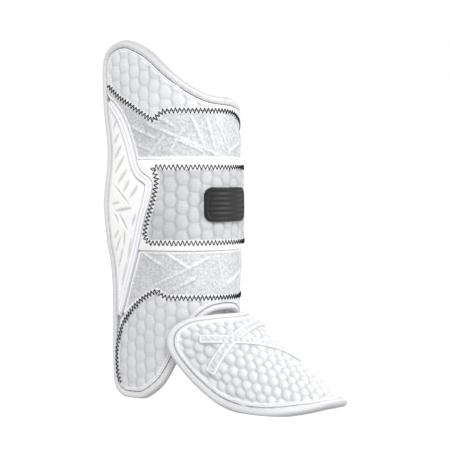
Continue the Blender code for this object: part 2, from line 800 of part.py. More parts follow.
def rounded_rectangle(centre: tuple[float, float], width: float, height: float, corner: float) -> np.ndarray:
    """Plan loop of a rectangle with rounded corners."""
    arc = np.linspace(0, math.pi / 2, 5)
    quarter = corner * np.stack([np.cos(arc), np.sin(arc)], axis=-1)
    half = np.array([width / 2 - corner, height / 2 - corner])
    loop = []
    for turn, sign in enumerate(((1, 1), (-1, 1), (-1, -1), (1, -1))):
        cos, sin = round(math.cos(turn * math.pi / 2)), round(math.sin(turn * math.pi / 2))
        loop.append(quarter @ np.array([[cos, sin], [-sin, cos]]) + half * sign)
    return np.concatenate(loop) + centre


def add_badge() -> None:
    """The plain badge on the centre band."""
    loop = rounded_rectangle((0.0, BADGE_LEVEL), BADGE_WIDTH, BADGE_HEIGHT, BADGE_CORNER)
    low = BAND_RISE + PAD_BULGE + SEAM_GAP
    loop, high = subdivide(loop, ARC_STEP), low + BADGE_THICKNESS
    add_sheet("front_badge", shin_surface, loop, low, high, edge=BADGE_THICKNESS / 3)


def flap_outline() -> np.ndarray:
    """Outer edge of the flap binding, anticlockwise in the plan."""
    length = crest_line()[0][-1]
    half = np.array([(mark.arc * FLAP_GIRTH, mark.length * length) for mark in FLAP_HALF])
    loop = resample(smooth_path(np.concatenate([half, half[-2:0:-1] * [-1, 1]]), True), True)
    return loop if signed_area(loop) > 0 else loop[::-1]


def meeting(one: np.ndarray, other: np.ndarray) -> np.ndarray:
    """The point where two straight lines meet; each line is a start and an end point."""
    along, across, apart = one[1] - one[0], other[1] - other[0], other[0] - one[0]
    share = (apart[0] * across[1] - apart[1] * across[0]) / (along[0] * across[1] - along[1] * across[0])
    return one[0] + along * share


def crossed_bars() -> np.ndarray:
    """Plan loop of two crossing bars, its corners in order round the middle."""
    scale = np.array([FLAP_GIRTH, crest_line()[0][-1]])
    sides = []
    for bar in FLAP_BARS:
        line = np.array(bar) * scale
        heading = (line[1] - line[0]) / np.hypot(*(line[1] - line[0]))
        shift = np.array([-heading[1], heading[0]]) * BAR_WIDTH / 2
        sides.append((line + shift, line - shift))
    inner = [meeting(one, other) for one in sides[0] for other in sides[1]]
    outer = [end for pair in sides for line in pair for end in line]
    corners = np.array(inner + outer)
    middle = np.mean(inner, axis=0)
    turn = np.arctan2(*(corners - middle).T[::-1])
    return corners[np.argsort(turn)]


def add_flap() -> None:
    """Body, bars, binding and hinge of the flap."""
    surface = lifted(flap_base, side=-1.0)
    outline = flap_outline()
    field = inset(outline, BINDING_WIDTH + SEAM_GAP)
    add_sheet("foot_flap", surface, field, -FLAP_THICKNESS, 0.0, up=ARC_STEP, edge=EDGE_ROUND)
    bars = subdivide(crossed_bars(), 0.8 * ARC_STEP)
    add_sheet("flap_cross_band", surface, bars, SEAM_GAP, SEAM_GAP + BAR_THICKNESS, edge=BAR_THICKNESS / 2)
    add_binding("flap_binding", surface, outline, FLAP_THICKNESS + 2 * BINDING_PROUD)
    length = path_lengths(smooth_path(np.array(HINGE_PATH), False))[-1]
    side, half = HINGE_WIDTH / 2, HINGE_THICKNESS / 2
    loop = subdivide(np.array([(-side, 0.0), (side, 0.0), (side, length), (-side, length)]), HINGE_STEP)
    add_sheet("flap_hinge", lifted(hinge_base), loop, -half, half, ARC_STEP, HINGE_STEP)


def add_strap(name: str, level: float, width: float) -> None:
    """A calf strap round the open back."""
    length = path_lengths(strap_path(level))[-1] - STRAP_CORNER
    loop = rounded_rectangle((length / 2, level), length, width, STRAP_CORNER)
    half = STRAP_THICKNESS / 2
    surface = lifted(strap_base(level, width))
    add_sheet(name, surface, subdivide(loop, ARC_STEP), -half, half, up=width)


def main() -> None:
    """Builds the guard in an emptied scene."""
    for thing in list(bpy.data.objects):
        bpy.data.objects.remove(thing, do_unlink=True)
    add_shin()
    add_badge()
    add_flap()
    add_strap("upper_strap", 0.54 * GUARD_HEIGHT, UPPER_STRAP_WIDTH)
    add_strap("lower_strap", 0.25 * GUARD_HEIGHT, LOWER_STRAP_WIDTH)


main()
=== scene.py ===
"""Looks of a padded white leg guard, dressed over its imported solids.

Frame: metres, +Z up, origin on the floor below the leg's axis. The shin faces -Y and the high outer
side faces -X.

Every pad is drawn in a flat plan and laid on a curved form, as the solids are. The shin's plan is
(arc, height): arc is the way round the leg from the shin's middle, positive on the outer side. The
flap's plan is (arc, length) along its crest. A lift is a distance outward from the pads' outer face.
"""

import logging
import math
from dataclasses import dataclass, field
from enum import Enum
from typing import Any, Callable, ClassVar, Protocol, Sequence

import bpy
import numpy as np
from mathutils import Matrix
from mathutils.geometry import delaunay_2d_cdt


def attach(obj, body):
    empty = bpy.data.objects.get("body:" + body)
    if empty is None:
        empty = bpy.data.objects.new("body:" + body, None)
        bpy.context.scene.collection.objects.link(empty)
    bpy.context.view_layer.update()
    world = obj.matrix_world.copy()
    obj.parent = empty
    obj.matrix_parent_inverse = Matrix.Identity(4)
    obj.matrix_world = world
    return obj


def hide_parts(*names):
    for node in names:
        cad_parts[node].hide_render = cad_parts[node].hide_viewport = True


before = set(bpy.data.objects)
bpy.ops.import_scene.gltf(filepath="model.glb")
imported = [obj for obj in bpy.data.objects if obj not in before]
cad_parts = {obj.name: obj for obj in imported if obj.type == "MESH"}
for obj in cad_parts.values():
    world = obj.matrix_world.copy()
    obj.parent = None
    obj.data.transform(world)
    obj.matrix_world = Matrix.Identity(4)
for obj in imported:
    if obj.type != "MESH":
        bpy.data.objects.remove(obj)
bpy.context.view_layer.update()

log = logging.getLogger("leg_guard")

Array = np.ndarray
Marks = Sequence[tuple[float, float]]


# Curves in the plan


def spline(at: Array, xs: Sequence[float], ys: Sequence[float]) -> Array:
    """Hermite curve through (xs, ys) with centred slopes, held level past both ends.

    Args:
        at: places to read the curve at.
        xs: rising places of the knots.
        ys: values at the knots.

    Returns:
        The curve's values at the places.
    """
    xs, ys = np.asarray(xs, float), np.asarray(ys, float)
    slopes = np.gradient(ys, xs)
    low = np.clip(np.searchsorted(xs, at) - 1, 0, len(xs) - 2)
    width = xs[low + 1] - xs[low]
    t = (np.clip(at, xs[0], xs[-1]) - xs[low]) / width
    rise = t * t * (3 - 2 * t)
    ends = ys[low] * (1 - rise) + ys[low + 1] * rise
    return ends + width * t * (1 - t) * ((1 - t) * slopes[low] - t * slopes[low + 1])


def smoothstep(value: Array, low: float, high: float) -> Array:
    """Rise 3t^2 - 2t^3 from 0 at low to 1 at high."""
    t = np.clip((value - low) / (high - low), 0.0, 1.0)
    return t * t * (3 - 2 * t)


def smooth_path(points: Array, closed: bool) -> Array:
    """Catmull-Rom curve through plan points, with 16 points a span.

    Args:
        points: the curve's knots, one row each.
        closed: whether the curve runs back to its start.

    Returns:
        The curve's points; an open curve keeps its last knot.
    """
    if closed:
        held = np.concatenate([points[-1:], points, points[:2]])
    else:
        held = np.concatenate([2 * points[:1] - points[1:2], points, 2 * points[-1:] - points[-2:-1]])
    t = np.linspace(0, 1, 16, endpoint=False)[None, :, None]
    a, b, c, d = (held[i : len(held) - 3 + i, None, :] for i in range(4))
    span = b + 0.5 * t * (c - a + t * (2 * a - 5 * b + 4 * c - d + t * (3 * (b - c) + d - a)))
    span = span.reshape(-1, 2)
    return span if closed else np.concatenate([span, points[-1:]])


def lengths(path: Array) -> Array:
    """Distance of each point of an open path from its start."""
    return np.concatenate([[0.0], np.cumsum(np.linalg.norm(np.diff(path, axis=0), axis=1))])


def evenly(path: Array, closed: bool, step: float) -> Array:
    """Points at even spacing along a path.

    Args:
        path: the path's points.
        closed: whether it runs back to its start.
        step: the wanted spacing in metres.

    Returns:
        The evenly spaced points; a closed path doesn't repeat its first one.
    """
    line = np.concatenate([path, path[:1]]) if closed else path
    along = lengths(line)
    count = max(2, round(along[-1] / step))
    at = np.linspace(0, along[-1], count + 1)
    at = at[:-1] if closed else at
    return np.stack([np.interp(at, along, line[:, i]) for i in range(line.shape[1])], axis=-1)


def softened(path: Array, closed: bool, reach: int) -> Array:
    """The path with its corners rounded by a running mean over 2 * reach + 1 points."""
    mode = "wrap" if closed else "edge"
    kernel = np.ones(2 * reach + 1) / (2 * reach + 1)
    held = np.pad(path, ((reach, reach), (0, 0)), mode=mode)
    soft = np.stack([np.convolve(held[:, i], kernel, mode="valid") for i in range(2)], axis=-1)
    if not closed:
        soft[0], soft[-1] = path[0], path[-1]
    return soft


def signed_area(loop: Array) -> float:
    """Area of a closed loop, positive when it runs anticlockwise."""
    x, y = loop.T
    return 0.5 * float(np.sum(x * np.roll(y, -1) - np.roll(x, -1) * y))


def side_normals(path: Array, closed: bool) -> Array:
    """Mitred left-hand normals of a path's points.

    Args:
        path: plan points.
        closed: whether the path runs back to its start.

    Returns:
        One normal a point, longer at corners so that a parallel path keeps its distance.
    """
    edge = np.diff(np.concatenate([path, path[:1]]), axis=0)
    normal = np.stack([-edge[:, 1], edge[:, 0]], axis=-1) / np.hypot(*edge.T)[:, None]
    if not closed:
        normal[-1] = normal[-2]
    before = np.roll(normal, 1, axis=0)
    if not closed:
        before[0] = normal[0]
    reach = np.maximum(1 + np.sum(before * normal, axis=1), 0.35)
    return (before + normal) / reach[:, None]


def inset(loop: Array, distance: float) -> Array:
    """The closed loop moved inward by a distance."""
    side = 1.0 if signed_area(loop) > 0 else -1.0
    return loop + side_normals(loop, True) * side * distance


def across(one: Array, other: Array) -> Array:
    """Plane cross product of rows of vectors."""
    return one[..., 0] * other[..., 1] - one[..., 1] * other[..., 0]


def split(loop: Array, cut: Array) -> tuple[Array, Array]:
    """The two parts of an anticlockwise loop on the left and on the right of a cut through it.

    Args:
        loop: the closed loop.
        cut: an open path that crosses the loop.

    Returns:
        The left part and the right part, cut between the first and the last crossing.
    """
    along = np.diff(cut, axis=0)[:, None]
    ends = (np.roll(loop, -1, axis=0) - loop)[None]
    apart = loop[None] - cut[:-1, None]
    with np.errstate(divide="ignore", invalid="ignore"):
        on_cut = across(apart, ends) / across(along, ends)
        on_edge = across(apart, along) / across(along, ends)
    rows, edges = np.nonzero((on_cut >= 0) & (on_cut < 1) & (on_edge >= 0) & (on_edge < 1))
    place = rows + on_cut[rows, edges]
    first, last = int(np.argmin(place)), int(np.argmax(place))
    enter, leave = (cut[rows[i]] + along[rows[i], 0] * on_cut[rows[i], edges[i]] for i in (first, last))
    inner = cut[math.ceil(place[first] + 1e-9) : math.floor(place[last]) + 1]
    line = np.concatenate([[enter], inner, [leave]])
    count = len(loop)
    ahead = (edges[last] + 1 + np.arange((edges[first] - edges[last]) % count)) % count
    behind = (edges[first] + 1 + np.arange((edges[last] - edges[first]) % count)) % count
    return np.concatenate([line, loop[ahead]]), np.concatenate([line[::-1], loop[behind]])


def without_short(loop: Array, least: float) -> Array:
    """The closed loop without points nearer than a distance to the kept point before them."""
    while True:
        gaps = np.hypot(*(np.roll(loop, -1, axis=0) - loop).T)
        first = int(np.argmin(gaps))
        if gaps[first] > least:
            return loop
        loop = np.delete(loop, (first + 1) % len(loop), axis=0)


def blunt(loop: Array, width: float, corner: float = math.radians(48)) -> Array:
    """The loop with tips narrower than a corner angle cut back until they are a width wide.

    Args:
        loop: the closed loop.
        width: least width of a tip, in metres.
        corner: the angle under which a corner counts as a tip.

    Returns:
        The shortened loop.
    """
    points, passed = list(loop), 0
    while passed < len(points):
        points = points[1:] + points[:1]
        passed += 1
        back, ahead = points[-1] - points[0], points[1] - points[0]
        if back @ ahead > math.cos(corner) * np.hypot(*back) * np.hypot(*ahead):
            points.pop(0)
            while np.hypot(*(points[-1] - points[0])) < width:
                points = points[1:-1]
            passed = 0
    return np.array(points)


def by_blocks(points: Array, other: int, work: Callable[[Array], Array]) -> Array:
    """Runs a whole-array function over points in blocks small enough to fit in memory."""
    blocks = max(1, math.ceil(len(points) * other / 3_000_000))
    return np.concatenate([work(block) for block in np.array_split(points, blocks)])


def inside(points: Array, loop: Array) -> Array:
    """Which plan points lie inside a closed loop, by the parity of the edges to their right."""
    start, end = loop, np.roll(loop, -1, axis=0)
    rise = end[:, 1] - start[:, 1]
    slope = np.where(rise == 0, 0.0, (end[:, 0] - start[:, 0]) / np.where(rise == 0, 1.0, rise))

    def parity(block: Array) -> Array:
        x, y = block[:, :1], block[:, 1:]
        spans = (y > start[:, 1]) != (y > end[:, 1])
        return np.sum(spans & (x < start[:, 0] + (y - start[:, 1]) * slope), axis=1) % 2 == 1

    return by_blocks(points, len(loop), parity)


def distance_to(points: Array, path: Array, closed: bool) -> Array:
    """Distance of plan points from the nearest segment of a path."""
    start = path if closed else path[:-1]
    along = (np.roll(path, -1, axis=0) - path)[: len(start)]
    square = np.sum(along * along, axis=1)

    def nearest(block: Array) -> Array:
        apart = block[:, None] - start
        t = np.clip(np.sum(apart * along, axis=2) / square, 0, 1)
        return np.sqrt(np.min(np.sum((apart - t[..., None] * along) ** 2, axis=2), axis=1))

    return by_blocks(points, len(start) * 4, nearest)


# Forms that carry the plans


class Form(Protocol):
    """A curved face that carries a plan."""

    def lay(self, plan: Array, lift: Array | float) -> Array:
        """Plan points at a lift, as places in space."""


@dataclass(frozen=True)
class ShinForm:
    """The shin's curved face: a round front, then flatter sides, with a section for each height."""

    height: float = 0.380
    outer_reach: float = 0.160
    inner_reach: float = 0.142
    radius: float = 0.0673
    side_radius: float = 0.190
    turn: float = math.radians(80)
    shares: tuple[float, ...] = (0.00, 0.24, 0.55, 0.79, 1.00)
    radii: tuple[float, ...] = (0.877, 0.892, 1.000, 0.929, 0.906)
    fronts: tuple[float, ...] = (0.981, 0.996, 1.000, 0.966, 0.951)

    def lay(self, plan: Array, lift: Array | float) -> Array:
        """Places on a circle of the section's radius up to the turn, then on a wide circle tangent to it.

        Args:
            plan: rows of (arc, height).
            lift: distance outward, one for all rows or one a row.

        Returns:
            Rows of (x, y, z).
        """
        arc, height = plan[:, 0], plan[:, 1]
        share = height / self.height
        radius = self.radius * spline(share, self.shares, self.radii)
        front = self.radius * spline(share, self.shares, self.fronts)
        beyond = np.maximum(np.abs(arc) - radius * self.turn, 0.0)
        side = beyond > 0
        turn = np.where(side, self.turn + beyond / self.side_radius, np.abs(arc) / radius)
        shift = np.where(side, self.side_radius - radius, 0.0)
        reach = np.where(side, self.side_radius, radius) + lift
        out = reach * np.sin(turn) - shift * math.sin(self.turn)
        back = radius - front + shift * math.cos(self.turn) - reach * np.cos(turn)
        return np.stack([-np.sign(arc) * out, back, np.maximum(height, 0.0)], axis=-1)

    def marks(self, table: Marks) -> Array:
        """Plan points in metres from shares of the reach on their side and of the height."""
        shares = np.array(table)
        reach = np.where(shares[:, 0] > 0, self.outer_reach, self.inner_reach)
        return np.stack([shares[:, 0] * reach, shares[:, 1] * self.height], axis=-1)


@dataclass(frozen=True)
class FlapForm:
    """The foot flap's curved face: arched sections that lean back along a falling crest."""

    length: float = 0.146
    height: float = 0.0935
    girth: float = 0.098
    radius: float = 0.060
    start: float = 0.0770
    turn: float = math.radians(78)
    # Share of the length, height, section radius and lean in degrees at each crest point
    crest: tuple[tuple[float, float, float, float], ...] = (
        (0.00, 1.000, 1.15, 36.0),
        (0.13, 0.900, 1.10, 42.0),
        (0.30, 0.737, 1.00, 55.0),
        (0.50, 0.537, 0.98, 64.0),
        (0.70, 0.362, 1.00, 76.0),
        (0.86, 0.222, 0.78, 80.0),
        (1.00, 0.140, 0.42, 80.0),
    )

    def crest_rows(self) -> tuple[Array, Array]:
        """Length along the crest, and its rows of y, z, radius and lean."""
        share = np.linspace(0, 1, 121)
        forward, heights, radii, leans = zip(*self.crest)
        y = -self.start - self.length * share
        z = self.height * spline(share, forward, heights)
        radius = self.radius * spline(share, forward, radii)
        lean = np.radians(spline(share, forward, leans))
        return lengths(np.stack([y, z], axis=-1)), np.stack([y, z, radius, lean])

    def base(self, plan: Array) -> Array:
        """Places at lift 0: an arc of the section's radius up to the turn, then a straight drop."""
        length, rows = self.crest_rows()
        arc, along = np.abs(plan[:, 0]), plan[:, 1]
        y, z, radius, lean = (np.interp(along, length, row) for row in rows)
        slope = np.diff(rows[:2], axis=1) / np.diff(length)
        past = along - np.clip(along, 0, length[-1])
        end = np.where(along < 0, 0, slope.shape[1] - 1)
        y, z = y + past * slope[0, end], z + past * slope[1, end]
        beyond = np.maximum(arc - radius * self.turn, 0.0)
        turn = np.minimum(arc / radius, self.turn)
        out = radius * np.sin(turn) + beyond * math.cos(self.turn)
        drop = radius * (1 - np.cos(turn)) + beyond * math.sin(self.turn)
        return np.stack([-np.sign(plan[:, 0]) * out, y + drop * np.cos(lean), z - drop * np.sin(lean)], axis=-1)

    def lay(self, plan: Array, lift: Array | float) -> Array:
        """Places moved out along the face's normal, never below the floor."""
        return lifted(self.base, plan, lift, -1.0)


def lifted(base: Callable[[Array], Array], plan: Array, lift: Array | float, side: float) -> Array:
    """Places of a base face moved along its normal, the cross product of its two plan directions.

    Args:
        base: gives places for plan points.
        plan: the plan points.
        lift: distance along the normal.
        side: 1 or -1, the side of the face that the normal points to.

    Returns:
        Rows of (x, y, z), none below the floor.
    """
    probe = 0.0005
    along = base(plan + [probe, 0]) - base(plan - [probe, 0])
    up = base(plan + [0, probe]) - base(plan - [0, probe])
    normal = side * np.cross(up, along)
    normal /= np.linalg.norm(normal, axis=1)[:, None]
    placed = base(plan) + normal * np.asarray(lift).reshape(-1, 1)
    placed[:, 2] = np.maximum(placed[:, 2], 0.0)
    return placed


@dataclass(frozen=True)
class HingeForm:
    """The hinge cloth's middle face: inside the shell above, folded forward under the flap below."""

    shin: ShinForm
    # Lift over the pads and height of the fold's points, in metres, from its lower end
    fold: tuple[tuple[float, float], ...] = (
        (0.0125, 0.0806),
        (0.0070, 0.0822),
        (0.0000, 0.0834),
        (-0.0065, 0.0848),
        (-0.0112, 0.0880),
        (-0.0127, 0.0940),
        (-0.0127, 0.0990),
        (-0.0119, 0.1070),
        (-0.0119, 0.1180),
    )

    def path(self) -> Array:
        """The fold's curve, as lift and height."""
        return smooth_path(np.array(self.fold), False)

    def base(self, plan: Array) -> Array:
        """Places of plan points (arc, length along the fold) at lift 0."""
        path = self.path()
        lift, height = (np.interp(plan[:, 1], lengths(path), column) for column in path.T)
        return self.shin.lay(np.stack([plan[:, 0], height], axis=-1), lift)

    def lay(self, plan: Array, lift: Array | float) -> Array:
        """Places moved off the middle face along its normal."""
        return lifted(self.base, plan, lift, 1.0)


@dataclass(frozen=True)
class StrapForm:
    """A strap's middle face: between its path at the lower edge and its path at the upper edge."""

    shin: ShinForm
    level: float
    width: float
    thickness: float = 0.0024
    clearance: float = 0.0006
    rise: float = 0.0012
    depth: float = 0.0106
    # Share of the way across the open back, and depth as a share of the open width
    bow: tuple[tuple[float, float], ...] = ((0.02, 0.11), (0.16, 0.26), (0.50, 0.34), (0.84, 0.26), (0.98, 0.11))

    def path(self, level: float) -> Array:
        """Plan view of the strap at a level, from inside the outer edge round the back."""
        depth = self.depth + self.clearance + self.thickness / 2
        shares = np.array([0.66, 0.72, 0.79, 0.86])
        arcs = np.concatenate([shares * self.shin.outer_reach, -shares[::-1] * self.shin.inner_reach])
        depths = depth + np.array([0, 0, 0, 1, 1, 0, 0, 0]) * self.rise
        held = self.shin.lay(np.stack([arcs, np.full(8, level)], axis=-1), -depths)[:, :2]
        span = held[4] - held[3]
        back = held[3] + [span * along + [0.0, span[0] * deep] for along, deep in self.bow]
        return smooth_path(np.concatenate([held[:4], back, held[4:]]), False)

    def length(self) -> float:
        """Length of the strap's path at its middle."""
        return float(lengths(self.path(self.level))[-1])

    def base(self, plan: Array) -> Array:
        """Places of plan points (way along the strap, height) at lift 0."""
        low, high = (self.path(self.level + side * self.width / 2) for side in (-1, 1))
        length = lengths((low + high) / 2)
        share = (plan[:, 1] - self.level) / self.width + 0.5
        below, above = (np.array([np.interp(plan[:, 0], length, path[:, i]) for i in range(2)]) for path in (low, high))
        x, y = below * (1 - share) + above * share
        return np.stack([x, y, plan[:, 1]], axis=-1)

    def lay(self, plan: Array, lift: Array | float) -> Array:
        """Places moved off the middle face along its normal."""
        return lifted(self.base, plan, lift, 1.0)


# Materials


def linear(hex_colour: str) -> tuple[float, float, float, float]:
    """Linear RGBA of an sRGB hex colour: c / 12.92 below 0.04045, else ((c + 0.055) / 1.055)^2.4."""
    parts = [int(hex_colour[i : i + 2], 16) / 255 for i in (0, 2, 4)]
    red, green, blue = (c / 12.92 if c <= 0.04045 else ((c + 0.055) / 1.055) ** 2.4 for c in parts)
    return red, green, blue, 1.0


def add_node(tree: bpy.types.NodeTree, kind: str, inputs: dict[str | int, Any], **settings: Any) -> bpy.types.Node:
    """Adds a node with its settings, values and links.

    Args:
        tree: the material's node tree.
        kind: the node's type name.
        inputs: socket name or number, with a value or an output socket to link.
        settings: the node's own properties.

    Returns:
        The new node.
    """
    node = tree.nodes.new(kind)
    for name, value in settings.items():
        setattr(node, name, value)
    for socket, value in inputs.items():
        if isinstance(value, bpy.types.NodeSocket):
            tree.links.new(value, node.inputs[socket])
        else:
            node.inputs[socket].default_value = value
    return node


class Weave(Enum):
    """How a finish is made, which decides its fine relief."""

    KNIT = "warp knit"
    GRAIN = "leather grain"
    SKIN = "smooth skin"
    TWILL = "tape twill"
    MESH = "spacer mesh"
    WEBBING = "strap webbing"
    RUBBER = "moulded rubber"
    THREAD = "twisted thread"


@dataclass(frozen=True)
class Finish:
    """One real material of the guard."""

    name: str
    weave: Weave
    colour: str
    shade: str
    roughness: float
    pitch: float
    depth: float
    sheen: float = 0.0
    coat: float = 0.0
    specular: float = 0.5
    # Painted shade: how much the colour darkens where the fine relief is low
    hollow_shade: float = 0.35

    def material(self, piece: str) -> bpy.types.Material:
        """A node material for one piece.

        Args:
            piece: the piece's name, which goes before the finish's name.

        Returns:
            The material, with colour variation, roughness variation and bump.
        """
        material = bpy.data.materials.new(f"{piece}_{self.name}")
        material.use_nodes = True
        tree = material.node_tree
        shader = tree.nodes["Principled BSDF"]
        place = add_node(tree, "ShaderNodeTexCoord", {})
        cloud = add_node(
            tree, "ShaderNodeTexNoise", {"Vector": place.outputs["Object"], "Scale": 22.0, "Detail": 3.0, "Roughness": 0.6}
        )
        # The mesh's tone holds each piece's own grey and painted shade in its grooves, creases and hollows
        tone = add_node(tree, "ShaderNodeAttribute", {}, attribute_name="tone")
        height = self.relief(tree, place)
        shares = add_node(
            tree, "ShaderNodeMath", {0: cloud.outputs["Fac"], 1: 0.5, 2: tone.outputs["Fac"]}, operation="MULTIPLY_ADD"
        )
        # Painted shade: the colour darkens where the fine relief is low
        hollow = add_node(tree, "ShaderNodeMath", {0: height, 1: -self.hollow_shade, 2: shares.outputs[0]}, operation="MULTIPLY_ADD")
        colour = add_node(
            tree,
            "ShaderNodeMix",
            {"Factor": hollow.outputs[0], "A": linear(self.colour), "B": linear(self.shade)},
            data_type="RGBA",
            clamp_factor=True,
        )
        tree.links.new(colour.outputs["Result"], shader.inputs["Base Color"])
        gloss = add_node(
            tree,
            "ShaderNodeMapRange",
            {"Value": cloud.outputs["Fac"], "To Min": self.roughness - 0.06, "To Max": self.roughness + 0.08},
        )
        tree.links.new(gloss.outputs["Result"], shader.inputs["Roughness"])
        bump = add_node(tree, "ShaderNodeBump", {"Height": height, "Distance": self.depth, "Strength": 1.0})
        tree.links.new(bump.outputs["Normal"], shader.inputs["Normal"])
        shader.inputs["Specular IOR Level"].default_value = self.specular
        shader.inputs["Sheen Weight"].default_value = self.sheen
        shader.inputs["Sheen Roughness"].default_value = 0.4
        shader.inputs["Coat Weight"].default_value = self.coat
        shader.inputs["Coat Roughness"].default_value = 0.35
        return material

    def relief(self, tree: bpy.types.NodeTree, place: bpy.types.Node) -> bpy.types.NodeSocket:
        """Height of the fine relief, 0 to 1, by the kind of weave.

        Args:
            tree: the material's node tree.
            place: its texture coordinate node.

        Returns:
            The height's output socket.
        """
        makers = {
            Weave.KNIT: self.loops,
            Weave.MESH: self.loops,
            Weave.GRAIN: self.pebbles,
            Weave.SKIN: self.pebbles,
            Weave.RUBBER: self.pebbles,
            Weave.TWILL: self.lines,
            Weave.WEBBING: self.herringbone,
            Weave.THREAD: self.lines,
        }
        return makers[self.weave](tree, place)

    def loops(self, tree: bpy.types.NodeTree, place: bpy.types.Node) -> bpy.types.NodeSocket:
        """Rounded knit loops: distance to the middles of slightly irregular cells in the plan."""
        scaled = add_node(
            tree,
            "ShaderNodeMapping",
            {"Vector": place.outputs["UV"], "Scale": (1 / self.pitch, 0.72 / self.pitch, 1.0)},
        )
        cells = add_node(
            tree,
            "ShaderNodeTexVoronoi",
            {"Vector": scaled.outputs["Vector"], "Scale": 1.0, "Randomness": 0.35},
            voronoi_dimensions="2D",
        )
        high = add_node(tree, "ShaderNodeMapRange", {"Value": cells.outputs["Distance"], "From Max": 0.7, "To Min": 1.0, "To Max": 0.0})
        return high.outputs["Result"]

    def pebbles(self, tree: bpy.types.NodeTree, place: bpy.types.Node) -> bpy.types.NodeSocket:
        """Leather pebbles: cell distance with a finer noise over it."""
        cells = add_node(
            tree,
            "ShaderNodeTexVoronoi",
            {"Vector": place.outputs["Object"], "Scale": 1 / self.pitch, "Randomness": 0.9, "Smoothness": 0.6},
            feature="SMOOTH_F1",
        )
        fine = add_node(tree, "ShaderNodeTexNoise", {"Vector": place.outputs["Object"], "Scale": 2.2 / self.pitch, "Detail": 2.0})
        high = add_node(
            tree, "ShaderNodeMath", {0: cells.outputs["Distance"], 1: -0.9, 2: fine.outputs["Fac"]}, operation="MULTIPLY_ADD"
        )
        even = add_node(tree, "ShaderNodeMapRange", {"Value": high.outputs[0], "From Min": -0.4, "From Max": 0.6})
        return even.outputs["Result"]

    def lines(self, tree: bpy.types.NodeTree, place: bpy.types.Node) -> bpy.types.NodeSocket:
        """Slanting twill lines: a sine across the slope of the piece's own UV."""
        scaled = add_node(
            tree,
            "ShaderNodeMapping",
            {"Vector": place.outputs["UV"], "Scale": (1 / self.pitch, 1 / self.pitch, 1.0)},
        )
        wave = add_node(
            tree,
            "ShaderNodeTexWave",
            {"Vector": scaled.outputs["Vector"], "Scale": 0.32, "Distortion": 0.6, "Detail": 1.0},
            bands_direction="DIAGONAL",
        )
        return wave.outputs["Fac"]

    def herringbone(self, tree: bpy.types.NodeTree, place: bpy.types.Node) -> bpy.types.NodeSocket:
        """Herringbone webbing: twill lines that turn at each rib, sin(along + |fold of across|)."""
        parts = add_node(tree, "ShaderNodeSeparateXYZ", {"Vector": place.outputs["UV"]})
        fold = add_node(
            tree, "ShaderNodeMath", {0: parts.outputs["Y"], 1: self.pitch * 5}, operation="PINGPONG"
        )
        slope = add_node(tree, "ShaderNodeMath", {0: parts.outputs["X"], 1: fold.outputs[0]}, operation="ADD")
        turns = add_node(tree, "ShaderNodeMath", {0: slope.outputs[0], 1: math.tau / self.pitch}, operation="MULTIPLY")
        sine = add_node(tree, "ShaderNodeMath", {0: turns.outputs[0]}, operation="SINE")
        high = add_node(tree, "ShaderNodeMapRange", {"Value": sine.outputs[0], "From Min": -1.0, "From Max": 1.0})
        return high.outputs["Result"]


